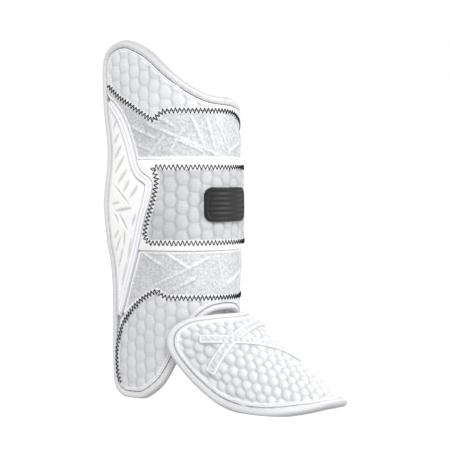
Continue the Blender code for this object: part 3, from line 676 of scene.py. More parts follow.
class Finishes:
    """The guard's materials; each comment says what gives the real one away to the eye."""

    # Brushed polyester knit pressed over foam: matt, soft at grazing light, with painted shade greying its pressed
    # grooves
    KNIT: ClassVar[Finish] = Finish("embossed_knit", Weave.KNIT, "F2F2F3", "BDBEC0", 0.78, 0.0013, 0.00010, sheen=0.15)
    # The same knit on the band, a shade greyer
    BAND_KNIT: ClassVar[Finish] = Finish("band_knit", Weave.KNIT, "F2F2F3", "B0B1B4", 0.78, 0.0013, 0.00010, sheen=0.15)
    # The same knit on the flap, a fresher white where it is pressed harder
    FLAP_KNIT: ClassVar[Finish] = Finish("flap_knit", Weave.KNIT, "F0F0F1", "BDBEC1", 0.70, 0.0013, 0.00010, sheen=0.15)
    # Polyurethane skin with a fine moulded grain: a slight sheen broken up by pebbles
    GRAIN: ClassVar[Finish] = Finish("grained_skin", Weave.GRAIN, "EEEEEF", "A9AAAD", 0.37, 0.0030, 0.00055, coat=0.30, hollow_shade=0.62)
    # The same skin pressed onto the flap's crossed bars, finer and more matt
    BAR_SKIN: ClassVar[Finish] = Finish("pressed_skin", Weave.GRAIN, "E6E6E7", "B9BABD", 0.66, 0.0030, 0.00055, hollow_shade=0.75)
    # Smoother polyurethane skin on the ribs: the brightest white of the guard, softly glossy
    RIBBED: ClassVar[Finish] = Finish("ribbed_skin", Weave.SKIN, "F7F7F6", "C9C9CA", 0.42, 0.0011, 0.00003, coat=0.10)
    # Padded roll of smooth skin with a faint violet cast
    RIDGE: ClassVar[Finish] = Finish("smooth_skin", Weave.SKIN, "F3F2F6", "BDBBCB", 0.40, 0.0011, 0.00003, coat=0.12)
    # Woven polyester tape, folded over the edge: fine slanting ribs
    BINDING: ClassVar[Finish] = Finish("binding_tape", Weave.TWILL, "D8D8D9", "A4A5A8", 0.66, 0.0012, 0.00010, sheen=0.10)
    # Spacer mesh that lies against the leg: open loops, with painted shade greying its holes
    LINING: ClassVar[Finish] = Finish("spacer_mesh", Weave.MESH, "F0F0F1", "BEC0C4", 0.86, 0.0022, 0.00040, sheen=0.2)
    # Moulded matt black rubber with a faint orange-peel
    RUBBER: ClassVar[Finish] = Finish("badge_rubber", Weave.RUBBER, "0C0C0D", "171718", 0.42, 0.0009, 0.00004, specular=0.3)
    # Elastic webbing woven in a herringbone
    WEBBING: ClassVar[Finish] = Finish("elastic_webbing", Weave.WEBBING, "ECEDEE", "B9BBBF", 0.72, 0.0018, 0.00018, sheen=0.2)
    # Plain woven cloth of the hinge
    HINGE: ClassVar[Finish] = Finish("hinge_cloth", Weave.TWILL, "F0F0F1", "D2D3D5", 0.80, 0.0011, 0.00012, sheen=0.2)
    # Bonded black polyester thread: nearly black, with a small glint along the twist
    BLACK_THREAD: ClassVar[Finish] = Finish("black_thread", Weave.THREAD, "0A0A0B", "050505", 0.50, 0.0006, 0.00004, specular=0.2)
    # White topstitch thread, a little greyer than the cloth
    WHITE_THREAD: ClassVar[Finish] = Finish("white_thread", Weave.THREAD, "CBCCCE", "B4B5B8", 0.60, 0.0006, 0.00004)


# Making pieces


@dataclass
class Body:
    """A mesh being put together: places, plan coordinates, tones and faces."""

    places: Array
    plan: Array
    faces: list[list[int]]
    tone: Array | None = None


def outward(places: Array, faces: list[list[int]]) -> bool:
    """Whether a closed mesh faces outward: its signed volume, the sum of a . (b x c) / 6, is positive."""
    fans = [np.array([face for face in faces if len(face) == size]) for size in {len(face) for face in faces}]
    volume = 0.0
    for group in fans:
        for corner in range(1, group.shape[1] - 1):
            a, b, c = (places[group[:, i]] for i in (0, corner, corner + 1))
            volume += float(np.sum(a * np.cross(b, c)))
    return volume > 0


def add_piece(
    name: str,
    body: Body,
    finish: Finish,
    replaced: Sequence[str] = (),
) -> bpy.types.Object:
    """Makes a body a piece of the scene.

    Args:
        name: the piece's name.
        body: its mesh.
        finish: its material.
        replaced: the solids it stands for.

    Returns:
        The piece's object.
    """
    faces = body.faces if outward(body.places, body.faces) else [face[::-1] for face in body.faces]
    mesh = bpy.data.meshes.new(name)
    mesh.from_pydata(body.places.tolist(), [], faces)
    mesh.polygons.foreach_set("use_smooth", np.ones(len(mesh.polygons), bool))
    corner = np.empty(len(mesh.loops), np.int32)
    mesh.loops.foreach_get("vertex_index", corner)
    mesh.uv_layers.new(name="plan").data.foreach_set("uv", body.plan[corner].ravel().astype(np.float32))
    tone = np.zeros(len(body.places)) if body.tone is None else body.tone
    mesh.attributes.new("tone", "FLOAT", "POINT").data.foreach_set("value", tone.astype(np.float32))
    mesh.materials.append(finish.material(name))
    mesh.validate()
    piece = bpy.data.objects.new(name, mesh)
    bpy.context.scene.collection.objects.link(piece)
    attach(piece, "root")
    if replaced:
        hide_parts(*replaced)
    triangles = sum(len(face) - 2 for face in faces)
    log.info("%s: %d triangles, %s", name, triangles, finish.weave.value)
    return piece


def triangles_in(loop: Array, filling: Array) -> list[list[int]]:
    """Delaunay triangles inside a loop; the loop's points come first, the filling's after them."""
    points = np.concatenate([loop, filling])
    count = len(loop)
    edges = [(i, (i + 1) % count) for i in range(count)]
    _, _, faces, origin, _, _ = delaunay_2d_cdt(points.tolist(), edges, [], 0, 1e-7, True)
    first = np.array([one[0] if one else -1 for one in origin])
    corners = first[np.array(faces)]
    corners = corners[np.all(corners >= 0, axis=1)]
    return corners[inside(points[corners].mean(axis=1), loop)].tolist()


def grid_in(loop: Array, step: float, room: float) -> Array:
    """Points of a staggered grid inside a loop and at least room from it."""
    low, high = loop.min(axis=0), loop.max(axis=0)
    rise = step * math.sqrt(0.75)
    rows = np.arange(math.floor(low[1] / rise), math.ceil(high[1] / rise) + 1)
    columns = np.arange(math.floor(low[0] / step), math.ceil(high[0] / step) + 1)
    x, y = np.meshgrid(columns * step, rows * rise)
    x = x + (rows % 2)[:, None] * step / 2
    grid = np.stack([x, y], axis=-1).reshape(-1, 2)
    grid = grid[inside(grid, loop)]
    return grid[distance_to(grid, loop, True) > room]


Emboss = Callable[[Array, Array], tuple[Array, Array]]


def plain(plan: Array, rim: Array) -> tuple[Array, Array]:
    """No relief and the light tone."""
    return np.zeros(len(plan)), np.zeros(len(plan))


def hemmed(plan: Array, rim: Array) -> tuple[Array, Array]:
    """A sewn hem: a groove 0.00035 * exp(-((rim - 0.0030) / 0.0007)^2) round the piece, darkened by painted shade."""
    groove = np.exp(-(((rim - 0.0030) / 0.0007) ** 2))
    # The tone is painted shade in the groove
    return -0.00035 * groove, 0.8 * groove


@dataclass
class Pad:
    """A closed pad over a plan loop: an embossed face with a rounded rim, a wall and a plain back."""

    name: str
    form: Form
    loop: Array
    back: float
    face: float
    finish: Finish
    slot: str
    emboss: Emboss = plain
    swell: float = 0.0
    edge: float = 0.0011
    step: float = 0.0011
    swell_width: float = 0.018

    def lift(self, plan: Array, rim: Array) -> Array:
        """Lift of face points.

        The face stands at its lift, plus swell * sin(quarter turn of rim / swell_width), plus the
        relief, less a quarter-round of radius edge at the rim.

        Args:
            plan: face points in the plan.
            rim: their distance from the loop.

        Returns:
            The lift of each point.
        """
        side = 1.0 if self.face > self.back else -1.0
        swell = self.swell * np.sin(np.minimum(rim / self.swell_width, 1.0) * math.pi / 2)
        short = np.clip(1 - rim / self.edge, 0.0, 1.0)
        rounding = self.edge * (1 - np.sqrt(1 - short**2))
        relief, _ = self.emboss(plan, rim)
        return self.face + side * (swell + relief - rounding)

    def body(self) -> Body:
        """The pad's closed mesh."""
        loop = evenly(self.loop, True, self.step * 1.15) if len(self.loop) > 60 else self.loop
        loop = self.refined(loop)
        rings = [inset(loop, share * self.edge) for share in (0.35, 1.0)]
        filling = np.concatenate(
            [ring[distance_to(ring, loop, True) > 0.9 * share * self.edge] for ring, share in zip(rings, (0.35, 1.0))]
            + [grid_in(loop, self.step, self.edge + 0.55 * self.step)]
        )
        filling = filling[inside(filling, loop)]
        face = np.concatenate([loop, filling])
        rim = np.concatenate([np.zeros(len(loop)), distance_to(filling, loop, True)])
        back = grid_in(loop, 0.008, 0.004)
        count, start = len(loop), len(face)
        places = np.concatenate(
            [
                self.form.lay(face, self.lift(face, rim)),
                self.form.lay(loop, np.full(count, self.back)),
                self.form.lay(back, np.full(len(back), self.back)),
            ]
        )
        ring = np.arange(count)
        after = np.roll(ring, -1)
        wall = np.stack([ring + start, after + start, after, ring], axis=-1)
        faces = triangles_in(loop, filling)
        faces += wall.tolist()
        faces += (np.array(triangles_in(loop, back))[:, ::-1] + start).tolist()
        _, tone = self.emboss(face, rim)
        tones = np.concatenate([tone, np.zeros(count + len(back))])
        return Body(places, np.concatenate([face, loop, back]), faces, tones)

    def refined(self, loop: Array) -> Array:
        """The loop with its long edges split evenly and its corners kept."""
        edge = np.roll(loop, -1, axis=0) - loop
        parts = np.maximum(1, np.ceil(np.hypot(*edge.T) / (self.step * 1.3)).astype(int))
        owner = np.repeat(np.arange(len(loop)), parts)
        share = (np.arange(len(owner)) - np.repeat(np.cumsum(parts) - parts, parts)) / parts[owner]
        return loop[owner] + edge[owner] * share[:, None]

    def make(self, replaced: Sequence[str], fill: float | None) -> bpy.types.Object:
        """The pad as a piece of the scene."""
        return add_piece(self.name, self.body(), self.finish, replaced)


def roll_body(form: Form, paths: Array, lifts: Array, closed: bool, plan: Array) -> Body:
    """A roll: a closed section carried along matching plan paths.

    Args:
        form: the form that carries the plan.
        paths: plan points, sections by points along the path.
        lifts: their lifts, of the same shape.
        closed: whether the path runs back to its start.
        plan: texture coordinates (along, round), of the paths' shape.

    Returns:
        The closed mesh; an open roll has flat ends.
    """
    rows, count = lifts.shape
    places = form.lay(paths.reshape(-1, 2), lifts.ravel())
    index = np.arange(rows * count).reshape(rows, count)
    ahead = np.roll(index, -1, axis=1) if closed else index[:, 1:]
    here = index if closed else index[:, :-1]
    over, over_ahead = np.roll(here, -1, axis=0), np.roll(ahead, -1, axis=0)
    faces = np.stack([here, ahead, over_ahead, over], axis=-1).reshape(-1, 4).tolist()
    if not closed:
        faces += [index[::-1, 0].tolist(), index[:, -1].tolist()]
    return Body(places, plan.reshape(-1, 2), faces)


def tube_body(path: Array, normal: Array, width: Array, thick: Array, sides: int, closed: bool) -> Body:
    """A tube with an oval section carried along a path in space.

    Args:
        path: the tube's middle line.
        normal: the direction of its thickness at each point.
        width: half width at each point, beside the path.
        thick: half thickness at each point, along the normal.
        sides: points of the section.
        closed: whether the path runs back to its start.

    Returns:
        The closed mesh; an open tube has flat ends.
    """
    if closed:
        ahead = np.roll(path, -1, axis=0) - np.roll(path, 1, axis=0)
    else:
        ahead = np.gradient(path, axis=0)
    ahead /= np.linalg.norm(ahead, axis=1)[:, None]
    beside = np.cross(ahead, normal)
    beside /= np.linalg.norm(beside, axis=1)[:, None]
    turn = np.arange(sides)[:, None, None] * math.tau / sides
    ring = np.cos(turn) * beside * width[:, None] + np.sin(turn) * normal * thick[:, None]
    count = len(path)
    along = lengths(path)
    plan = np.stack(np.broadcast_arrays(along[None], np.arange(sides)[:, None] * 0.0004), axis=-1)
    index = np.arange(sides * count).reshape(sides, count)
    ahead_index = np.roll(index, -1, axis=1) if closed else index[:, 1:]
    here = index if closed else index[:, :-1]
    over, over_ahead = np.roll(here, -1, axis=0), np.roll(ahead_index, -1, axis=0)
    faces = np.stack([here, ahead_index, over_ahead, over], axis=-1).reshape(-1, 4).tolist()
    if not closed:
        faces += [index[::-1, 0].tolist(), index[:, -1].tolist()]
    return Body((path[None] + ring).reshape(-1, 3), plan.reshape(-1, 2), faces)


def joined(bodies: Sequence[Body]) -> Body:
    """Several bodies as one mesh."""
    starts = np.cumsum([0] + [len(body.places) for body in bodies])
    faces = [[corner + int(start) for corner in face] for body, start in zip(bodies, starts) for face in body.faces]
    return Body(np.concatenate([b.places for b in bodies]), np.concatenate([b.plan for b in bodies]), faces)


# Embossed relief


@dataclass(frozen=True)
class Scales:
    """Pillowed cells of a honeycomb pressed into a pad, deeper between columns than between rows."""

    column: float = 0.0134
    row: float = 0.0150
    depth: float = 0.0010
    crown: float = 0.0008
    groove: float = 0.0012
    clear: float = 0.0036
    uneven: float = 0.075
    tone: float = 0.60
    squeeze: float = 0.80
    level: float = 0.30
    turn: float = 0.0

    def __call__(self, plan: Array, rim: Array) -> tuple[Array, Array]:
        """Relief and tone of plan points.

        With d1 and d2 the distances to the two nearest cell middles, the rows' way squeezed, and
        b = (d2 - d1) / 2, the relief is -depth * exp(-(b / groove)^2) - crown * (d1 / half column)^2,
        faded out near the rim.

        Args:
            plan: plan points.
            rim: their distance from the pad's edge.

        Returns:
            The relief in metres and the tone, with painted shade in the grooves between cells.
        """
        cos, sin = math.cos(self.turn), math.sin(self.turn)
        plan = plan @ np.array([[cos, -sin], [sin, cos]])
        low = np.floor(plan[:, 0] / self.column)
        found = []
        for step in (-1, 0, 1, 2):
            column = low + step
            shift = 0.5 * (column % 2)
            base = np.floor(plan[:, 1] / self.row - shift)
            for rise in (0, 1):
                level = base + rise + shift
                # Each cell's middle is off by up to a share of the pitch, as pressed foam is
                aside = self.uneven * np.sin(2.3 * column + 5.1 * level)
                above = self.uneven * np.sin(4.7 * column - 1.9 * level)
                middle = np.stack([(column + aside) * self.column, (level + above) * self.row], axis=-1)
                found.append((plan - middle) * [1.0, self.squeeze])
        apart = np.stack(found)
        gaps = np.linalg.norm(apart, axis=2)
        order = np.argsort(gaps, axis=0)
        pick = np.arange(len(plan))
        first, second = gaps[order[0], pick], gaps[order[1], pick]
        link = apart[order[0], pick] - apart[order[1], pick]
        sideways = np.abs(link[:, 0]) / np.linalg.norm(link, axis=1)
        border = (second - first) / 2
        # The lines are strong beside a cell's middle and fade toward its corners
        beside = np.exp(-((np.minimum(np.abs(apart[order[0], pick, 1]), self.row) / (0.42 * self.row)) ** 4))
        strength = self.level + (1.15 - self.level) * sideways**2 * (0.35 + 0.65 * beside)
        cut = np.exp(-((border / self.groove) ** 2)) * strength
        relief = -self.depth * cut - self.crown * (first / (self.column / 2)) ** 2
        share = smoothstep(rim, self.clear * 0.6, self.clear)
        # The tone is the pad's own grey plus painted shade in the grooves
        return relief * share, share * (self.tone + 0.32 * cut)


@dataclass(frozen=True)
class Bars:
    """Raised straight bars on a face that is sunk a little between them."""

    bars: tuple[tuple[float, float, float, float], ...]
    width: float = 0.0027
    rise: float = 0.0013
    sink: float = 0.0007
    clear: float = 0.0036

    def __call__(self, plan: Array, rim: Array) -> tuple[Array, Array]:
        """Relief and tone of plan points: -sink + rise * (1 - (d / width)^2)^2 near the bars.

        Args:
            plan: plan points.
            rim: their distance from the pad's edge.

        Returns:
            The relief in metres and the tone.
        """
        rows = np.array(self.bars) * 0.001
        start, along = rows[:, :2], rows[:, 2:] - rows[:, :2]
        apart = plan[:, None] - start
        t = np.clip(np.sum(apart * along, axis=2) / np.sum(along * along, axis=1), 0, 1)
        gap = np.linalg.norm(apart - t[..., None] * along, axis=2).min(axis=1)
        bump = np.clip(1 - (gap / self.width) ** 2, 0, 1) ** 2
        share = smoothstep(rim, self.clear * 0.5, self.clear)
        return share * (self.rise * bump - self.sink), share * (0.70 - 0.24 * bump)


@dataclass(frozen=True)
class Grooves:
    """Lens-shaped grooves pressed into a smooth skin, which leave soft ribs between them."""

    # Both ends and half the width of each groove, in millimetres of the plan
    rows: tuple[tuple[float, float, float, float, float], ...]
    depth: float = 0.0016

    def __call__(self, plan: Array, rim: Array) -> tuple[Array, Array]:
        """Relief and tone of plan points.

        At a share t of a groove's length its half width is 1.2w * sqrt(0.15 + 4t(1 - t)), and the cut is
        exp(-(d / half width)^2) * (4t(1 - t))^0.35. A point takes the deepest cut of all grooves.

        Args:
            plan: plan points.
            rim: their distance from the pad's edge.

        Returns:
            The relief in metres and the tone, with painted shade in the grooves and in a crease along the rim.
        """
        rows = np.array(self.rows) * 0.001
        start, along = rows[:, :2], rows[:, 2:4] - rows[:, :2]
        apart = plan[:, None] - start
        t = np.clip(np.sum(apart * along, axis=2) / np.sum(along * along, axis=1), 0, 1)
        gap = np.linalg.norm(apart - t[..., None] * along, axis=2)
        lens = 4 * t * (1 - t)
        half = 1.2 * rows[:, 4] * np.sqrt(0.15 + lens)
        cut = (np.exp(-((gap / half) ** 2)) * lens**0.35).max(axis=1)
        share = smoothstep(rim, 0.0008, 0.0030)
        # Painted shade in the grooves and in a crease along the rim
        crease_shade = 1 - smoothstep(rim, 0.0, 0.0012)
        return -self.depth * cut * share, np.maximum(share * 0.95 * cut, crease_shade)


@dataclass(frozen=True)
class Stitched:
    """A relief with a topstitched groove beside the rolled binding."""

    under: Emboss
    edge: Array
    place: float = 0.0017
    depth: float = 0.0006
    width: float = 0.0006

    def __call__(self, plan: Array, rim: Array) -> tuple[Array, Array]:
        """The relief under it, faded near the binding, less depth * exp(-((d - place) / width)^2).

        Args:
            plan: plan points.
            rim: their distance from the pad's edge.

        Returns:
            The relief in metres and the tone, with painted shade in the groove.
        """
        gap = distance_to(plan, self.edge, True)
        relief, tone = self.under(plan, rim)
        share = smoothstep(gap, self.place + 0.0008, self.place + 0.0028)
        groove = np.exp(-(((gap - self.place) / self.width) ** 2))
        # The tone gets painted shade in the stitched groove
        return relief * share - self.depth * groove, tone * share + 0.7 * groove


@dataclass(frozen=True)
class Pressed:
    """A relief that is flat under a loop, as the flap's pad is under the bars sewn onto it."""

    under: Emboss
    loop: Array
    reach: float = 0.0018

    def __call__(self, plan: Array, rim: Array) -> tuple[Array, Array]:
        """The relief times smoothstep(d, 0, reach), d the distance outside the loop, with painted shade under and
        beside the loop.

        Args:
            plan: plan points.
            rim: their distance from the pad's edge.

        Returns:
            The relief in metres and the tone.
        """
        gap = np.where(inside(plan, self.loop), 0.0, distance_to(plan, self.loop, True))
        share = smoothstep(gap, 0.0, self.reach)
        relief, tone = self.under(plan, rim)
        # The tone gets painted shade under and beside the loop
        return relief * share, tone + 0.25 * (1 - share)


# The guard's sub-assemblies


@dataclass
class ShinPlan:
    """The shin's outline, seams and ridges, and the pads cut by them."""

    form: ShinForm = field(default_factory=ShinForm)
    gap: float = 0.0006
    seam_gap: float = 0.00016
    binding: float = 0.0082
    ridge_width: float = 0.0096
    ridge_taper: float = 0.020
    ridge_thinning: float = 0.55
    blunt_width: float = 0.0035
    step: float = 0.0020

    OUTLINE: ClassVar[Marks] = (
        (0.00, 0.840), (0.13, 0.846), (0.26, 0.871), (0.39, 0.911), (0.53, 0.960), (0.65, 0.987),
        (0.77, 1.000), (0.90, 0.987), (0.98, 0.957), (1.00, 0.900), (0.985, 0.810), (0.935, 0.680),
        (0.977, 0.545), (0.955, 0.440), (0.914, 0.340), (0.914, 0.120), (0.890, 0.030), (0.800, 0.000),
        (0.700, -0.004), (0.610, 0.000), (0.530, 0.018), (0.440, 0.050), (0.365, 0.099), (0.300, 0.155),
        (0.210, 0.212), (0.10, 0.242), (-0.10, 0.242), (-0.235, 0.212), (-0.335, 0.155), (-0.410, 0.099),
        (-0.495, 0.050), (-0.590, 0.018), (-0.680, 0.000), (-0.780, -0.004), (-0.880, 0.000),
        (-0.975, 0.032), (-1.000, 0.120), (-1.000, 0.340), (-1.000, 0.545), (-0.990, 0.680),
        (-0.940, 0.735), (-0.780, 0.764), (-0.500, 0.797), (-0.250, 0.827), (-0.100, 0.838),
    )
    # Seams run from the inner side to the outer side
    TOP_SEAM: ClassVar[Marks] = (
        (-1.10, 0.678), (-0.80, 0.706), (-0.50, 0.742), (-0.25, 0.778), (-0.06, 0.799), (0.20, 0.800),
        (0.40, 0.799), (0.455, 0.793), (0.505, 0.776), (0.56, 0.784), (0.68, 0.813), (0.82, 0.845),
        (0.94, 0.881), (1.10, 0.915),
    )
    LOW_SEAM: ClassVar[Marks] = (
        (-1.10, 0.180), (-0.85, 0.250), (-0.60, 0.292), (-0.40, 0.286), (-0.20, 0.283), (0.05, 0.284),
        (0.30, 0.286), (0.44, 0.288), (0.494, 0.305), (0.59, 0.287), (0.69, 0.261), (0.76, 0.238),
        (0.90, 0.190), (1.10, 0.130),
    )
    BAND_TOP: ClassVar[Marks] = ((-1.10, 0.666), (1.10, 0.666))
    BAND_BOTTOM: ClassVar[Marks] = ((-1.10, 0.415), (1.10, 0.415))
    # Ridge middle lines run from the top down
    OUTER_RIDGE: ClassVar[Marks] = (
        (0.905, 0.831), (0.865, 0.815), (0.785, 0.777), (0.715, 0.718), (0.668, 0.655), (0.628, 0.626),
        (0.560, 0.606), (0.548, 0.590), (0.572, 0.550), (0.605, 0.508), (0.650, 0.440), (0.700, 0.375),
        (0.765, 0.300), (0.824, 0.228),
    )
    INNER_RIDGE: ClassVar[Marks] = (
        (-0.890, 0.624), (-0.800, 0.590), (-0.730, 0.535), (-0.700, 0.470), (-0.715, 0.400),
        (-0.765, 0.320), (-0.835, 0.250), (-0.870, 0.215),
    )

    def outline(self) -> Array:
        """Outer edge of the shin binding, anticlockwise."""
        loop = evenly(smooth_path(self.form.marks(self.OUTLINE), True), True, self.step)
        return loop if signed_area(loop) > 0 else loop[::-1]

    def field(self) -> Array:
        """The loop inside the binding that the pads fill."""
        return inset(self.outline(), self.binding + self.gap)

    def seam(self, marks: Marks) -> Array:
        """A seam line."""
        return evenly(smooth_path(self.form.marks(marks), False), False, self.step)

    def ridge(self, marks: Marks, reach: float) -> tuple[Array, Array]:
        """Middle line and half width of a ridge that thins toward its ends.

        Args:
            marks: the ridge's middle line, as shares.
            reach: length of the straight ends added for cutting.

        Returns:
            The middle line's points and the half width at each.
        """
        centre = self.seam(marks)
        along = lengths(centre)
        from_end = np.minimum(along, along[-1] - along)
        share = 1 - self.ridge_thinning * np.maximum(1 - from_end / self.ridge_taper, 0.0) ** 2
        if reach:
            first = (centre[0] - centre[1]) / along[1] * reach
            last = (centre[-1] - centre[-2]) / (along[-1] - along[-2]) * reach
            centre = np.concatenate([[centre[0] + first], centre, [centre[-1] + last]])
            share = np.concatenate([share[:1], share, share[-1:]])
        return centre, share * self.ridge_width / 2

    def pads(self) -> dict[str, Array]:
        """Plan loops of the shin's pads by name."""
        below, cap = sorted(split(self.field(), self.seam(self.TOP_SEAM)), key=lambda loop: loop[:, 1].max())
        pads = {"top_cap": cap}
        for name, marks, side in (("outer", self.OUTER_RIDGE, 1), ("inner", self.INNER_RIDGE, -1)):
            centre, half = self.ridge(marks, 0.25 * self.form.height)
            shift = side_normals(centre, False) * half[:, None] * side
            panel = max(split(below, centre + shift), key=lambda loop: side * loop[:, 0].mean())
            below = min(split(below, centre - shift), key=lambda loop: side * loop[:, 0].mean())
            pads[f"{name}_side_panel"] = panel
        upper, rest = sorted(split(below, self.seam(self.BAND_TOP)), key=lambda loop: -loop[:, 1].mean())
        band, rest = sorted(split(rest, self.seam(self.BAND_BOTTOM)), key=lambda loop: -loop[:, 1].mean())
        lower, ankle = sorted(split(rest, self.seam(self.LOW_SEAM)), key=lambda loop: -loop[:, 1].mean())
        pads.update(upper_shield=upper, centre_band=band, lower_shield=lower, ankle_panel=ankle)
        return {name: self.trimmed(loop) for name, loop in pads.items()}

    def trimmed(self, loop: Array) -> Array:
        """A pad's loop with blunt tips, half a seam's gap inside the cuts."""
        clean = without_short(loop, 0.0009)
        return inset(without_short(blunt(clean, self.blunt_width), 0.0009), self.seam_gap / 2)


@dataclass
class Binding:
    """A rolled tape binding round an outline, proud of both faces, with puckers along its fold."""

    name: str
    form: Form
    outline: Array
    thickness: float
    slot: str
    width: float = 0.0082
    proud: float = 0.0008
    pucker: float = 0.00034

    def section(self) -> Array:
        """Share of the width and share of the half thickness round the roll.

        The rounded side is (1 - (1 - s / 0.6)^2.5)^(1 / 2.5); past 0.6 the roll falls to 0.8.
        """
        s = 1 - np.cos(np.linspace(0, math.pi / 2, 11))
        bend = (1 - np.clip(1 - s / 0.6, 0, 1) ** 2.5) ** (1 / 2.5)
        fall = 0.20 * smoothstep(s, 0.62, 1.0)
        upper = np.stack([s, np.maximum(bend - fall, 0.06)], axis=-1)
        return np.concatenate([upper, [[1.0, 0.0]], upper[:0:-1] * [1, -1]])

    def body(self) -> Body:
        """The section carried along the outline, pressed in at even stitches on its inner side."""
        section = self.section()
        along = lengths(np.concatenate([self.outline, self.outline[:1]]))[:-1]
        total = along[-1] + np.hypot(*(self.outline[0] - self.outline[-1]))
        paths = np.stack([inset(self.outline, share * self.width) if share else self.outline for share, _ in section])
        middle, half = self.proud - self.thickness / 2, self.thickness / 2
        lifts = middle + half * section[:, 1:] * np.ones(len(along))
        turns = round(total / 0.0085)
        wave = np.sin(along / total * math.tau * turns + 1.7 * np.sin(along / total * math.tau * 23))
        pressed = smoothstep(section[:, 0], 0.45, 1.0)[:, None] * np.sign(section[:, 1:])
        lifts = lifts - self.pucker * (1 + wave) * pressed
        girth = lengths(section * [self.width, self.thickness / 2])
        plan = np.stack(np.broadcast_arrays(along[None], girth[:, None]), axis=-1)
        body = roll_body(self.form, paths, lifts, True, plan)
        # Painted shade: the tape is darker over its fold and in the crease at the stitching, and where its puckers
        # press in
        fold_and_crease_shade = 0.75 * (1 - smoothstep(section[:, 0], 0.02, 0.50)) + 0.7 * smoothstep(section[:, 0], 0.82, 1.0)
        body.tone = (fold_and_crease_shade[:, None] + 0.12 * wave * pressed).ravel()
        return body

    def make(self, replaced: Sequence[str]) -> bpy.types.Object:
        """The binding as a piece of the scene."""
        return add_piece(self.name, self.body(), Finishes.BINDING, replaced)


@dataclass
class Topstitch:
    """A row of straight stitches along a plan path, each a small rounded bead of thread."""

    name: str
    form: Form
    path: Array
    lift: float
    slot: str
    pitch: float = 0.0036
    length: float = 0.0028
    radius: float = 0.00030
    finish: Finish = Finishes.WHITE_THREAD

    def body(self) -> Body:
        """Beads with a half width of radius * (1 - t^4)^0.5 along each stitch, t from -1 to 1."""
        middles = evenly(self.path, True, self.pitch)
        ahead = np.roll(middles, -1, axis=0) - np.roll(middles, 1, axis=0)
        ahead /= np.linalg.norm(ahead, axis=1)[:, None]
        t = np.array([-1.0, -0.75, 0.0, 0.75, 1.0])
        plan = (middles[:, None] + ahead[:, None] * t[:, None] * self.length / 2).reshape(-1, 2)
        lift = np.tile(self.lift - self.radius * 1.6 * np.abs(t) ** 3, len(middles))
        places = self.form.lay(plan, lift)
        normal = self.form.lay(plan, lift + 0.001) - places
        normal /= np.linalg.norm(normal, axis=1)[:, None]
        line = places.reshape(-1, 5, 3)
        heading = line[:, -1] - line[:, 0]
        heading /= np.linalg.norm(heading, axis=1)[:, None]
        beside = np.cross(np.repeat(heading, 5, axis=0), normal)
        half = np.tile(self.radius * np.sqrt(1 - (0.93 * t) ** 4), len(middles))[:, None]
        turn = np.arange(6) * math.tau / 6
        ring = places[:, None] + half[:, None] * (np.cos(turn)[:, None] * beside[:, None] + np.sin(turn)[:, None] * normal[:, None])
        index = np.arange(len(middles) * 30).reshape(len(middles), 5, 6)
        over = np.roll(index, -1, axis=2)
        quads = np.stack([index[:, :-1], index[:, 1:], over[:, 1:], over[:, :-1]], axis=-1).reshape(-1, 4).tolist()
        caps = index[:, 0].tolist() + index[:, -1, ::-1].tolist()
        uv = np.repeat(plan, 6, axis=0)
        return Body(ring.reshape(-1, 3), uv, quads + caps)

    def make(self) -> bpy.types.Object:
        """The stitches as a piece of the scene."""
        return add_piece(self.name, self.body(), self.finish)


@dataclass
class Zigzag:
    """A zigzag seam of thick black thread along a plan path."""

    name: str
    form: Form
    path: Array
    closed: bool
    lift: Callable[[Array], Array]
    slot: str
    pitch: float = 0.0044
    reach: float = 0.0027
    width: float = 0.00047
    thick: float = 0.00044

    def body(self) -> Body:
        """The thread's tube.

        The thread swings reach * asin(0.985 * sin(phase)) / asin(0.985) to each side of the path,
        and dips into the pad at its turns.
        """
        line = evenly(self.path, self.closed, 0.0010)
        along = lengths(np.concatenate([line, line[:1]])) if self.closed else lengths(line)
        total = along[-1]
        turns = round(total / self.pitch)
        count = turns * 18
        at = np.linspace(0, total, count, endpoint=not self.closed)
        held = np.concatenate([line, line[:1]]) if self.closed else line
        normals = side_normals(line, self.closed)
        normals = np.concatenate([normals, normals[:1]]) if self.closed else normals
        middle = np.stack([np.interp(at, along, held[:, i]) for i in range(2)], axis=-1)
        aside = np.stack([np.interp(at, along, normals[:, i]) for i in range(2)], axis=-1)
        phase = at / total * math.tau * turns
        # Neighbouring stitches differ a little, as a machine's do on thick foam
        uneven = 1 + 0.07 * np.sin(phase * 0.37 + 1.1) + 0.05 * np.sin(phase * 0.81)
        swing = np.arcsin(0.985 * np.sin(phase)) / math.asin(0.985)
        plan = middle + aside * (swing * self.reach * uneven)[:, None]
        dip = np.abs(swing) ** 6
        lift = self.lift(plan) + self.thick * 0.75 - 0.0007 * dip
        places = self.form.lay(plan, lift)
        normal = self.form.lay(plan, lift + 0.001) - places
        normal /= np.linalg.norm(normal, axis=1)[:, None]
        return tube_body(places, normal, np.full(count, self.width), np.full(count, self.thick), 7, self.closed)

    def make(self) -> bpy.types.Object:
        """The seam as a piece of the scene."""
        return add_piece(self.name, self.body(), Finishes.BLACK_THREAD)


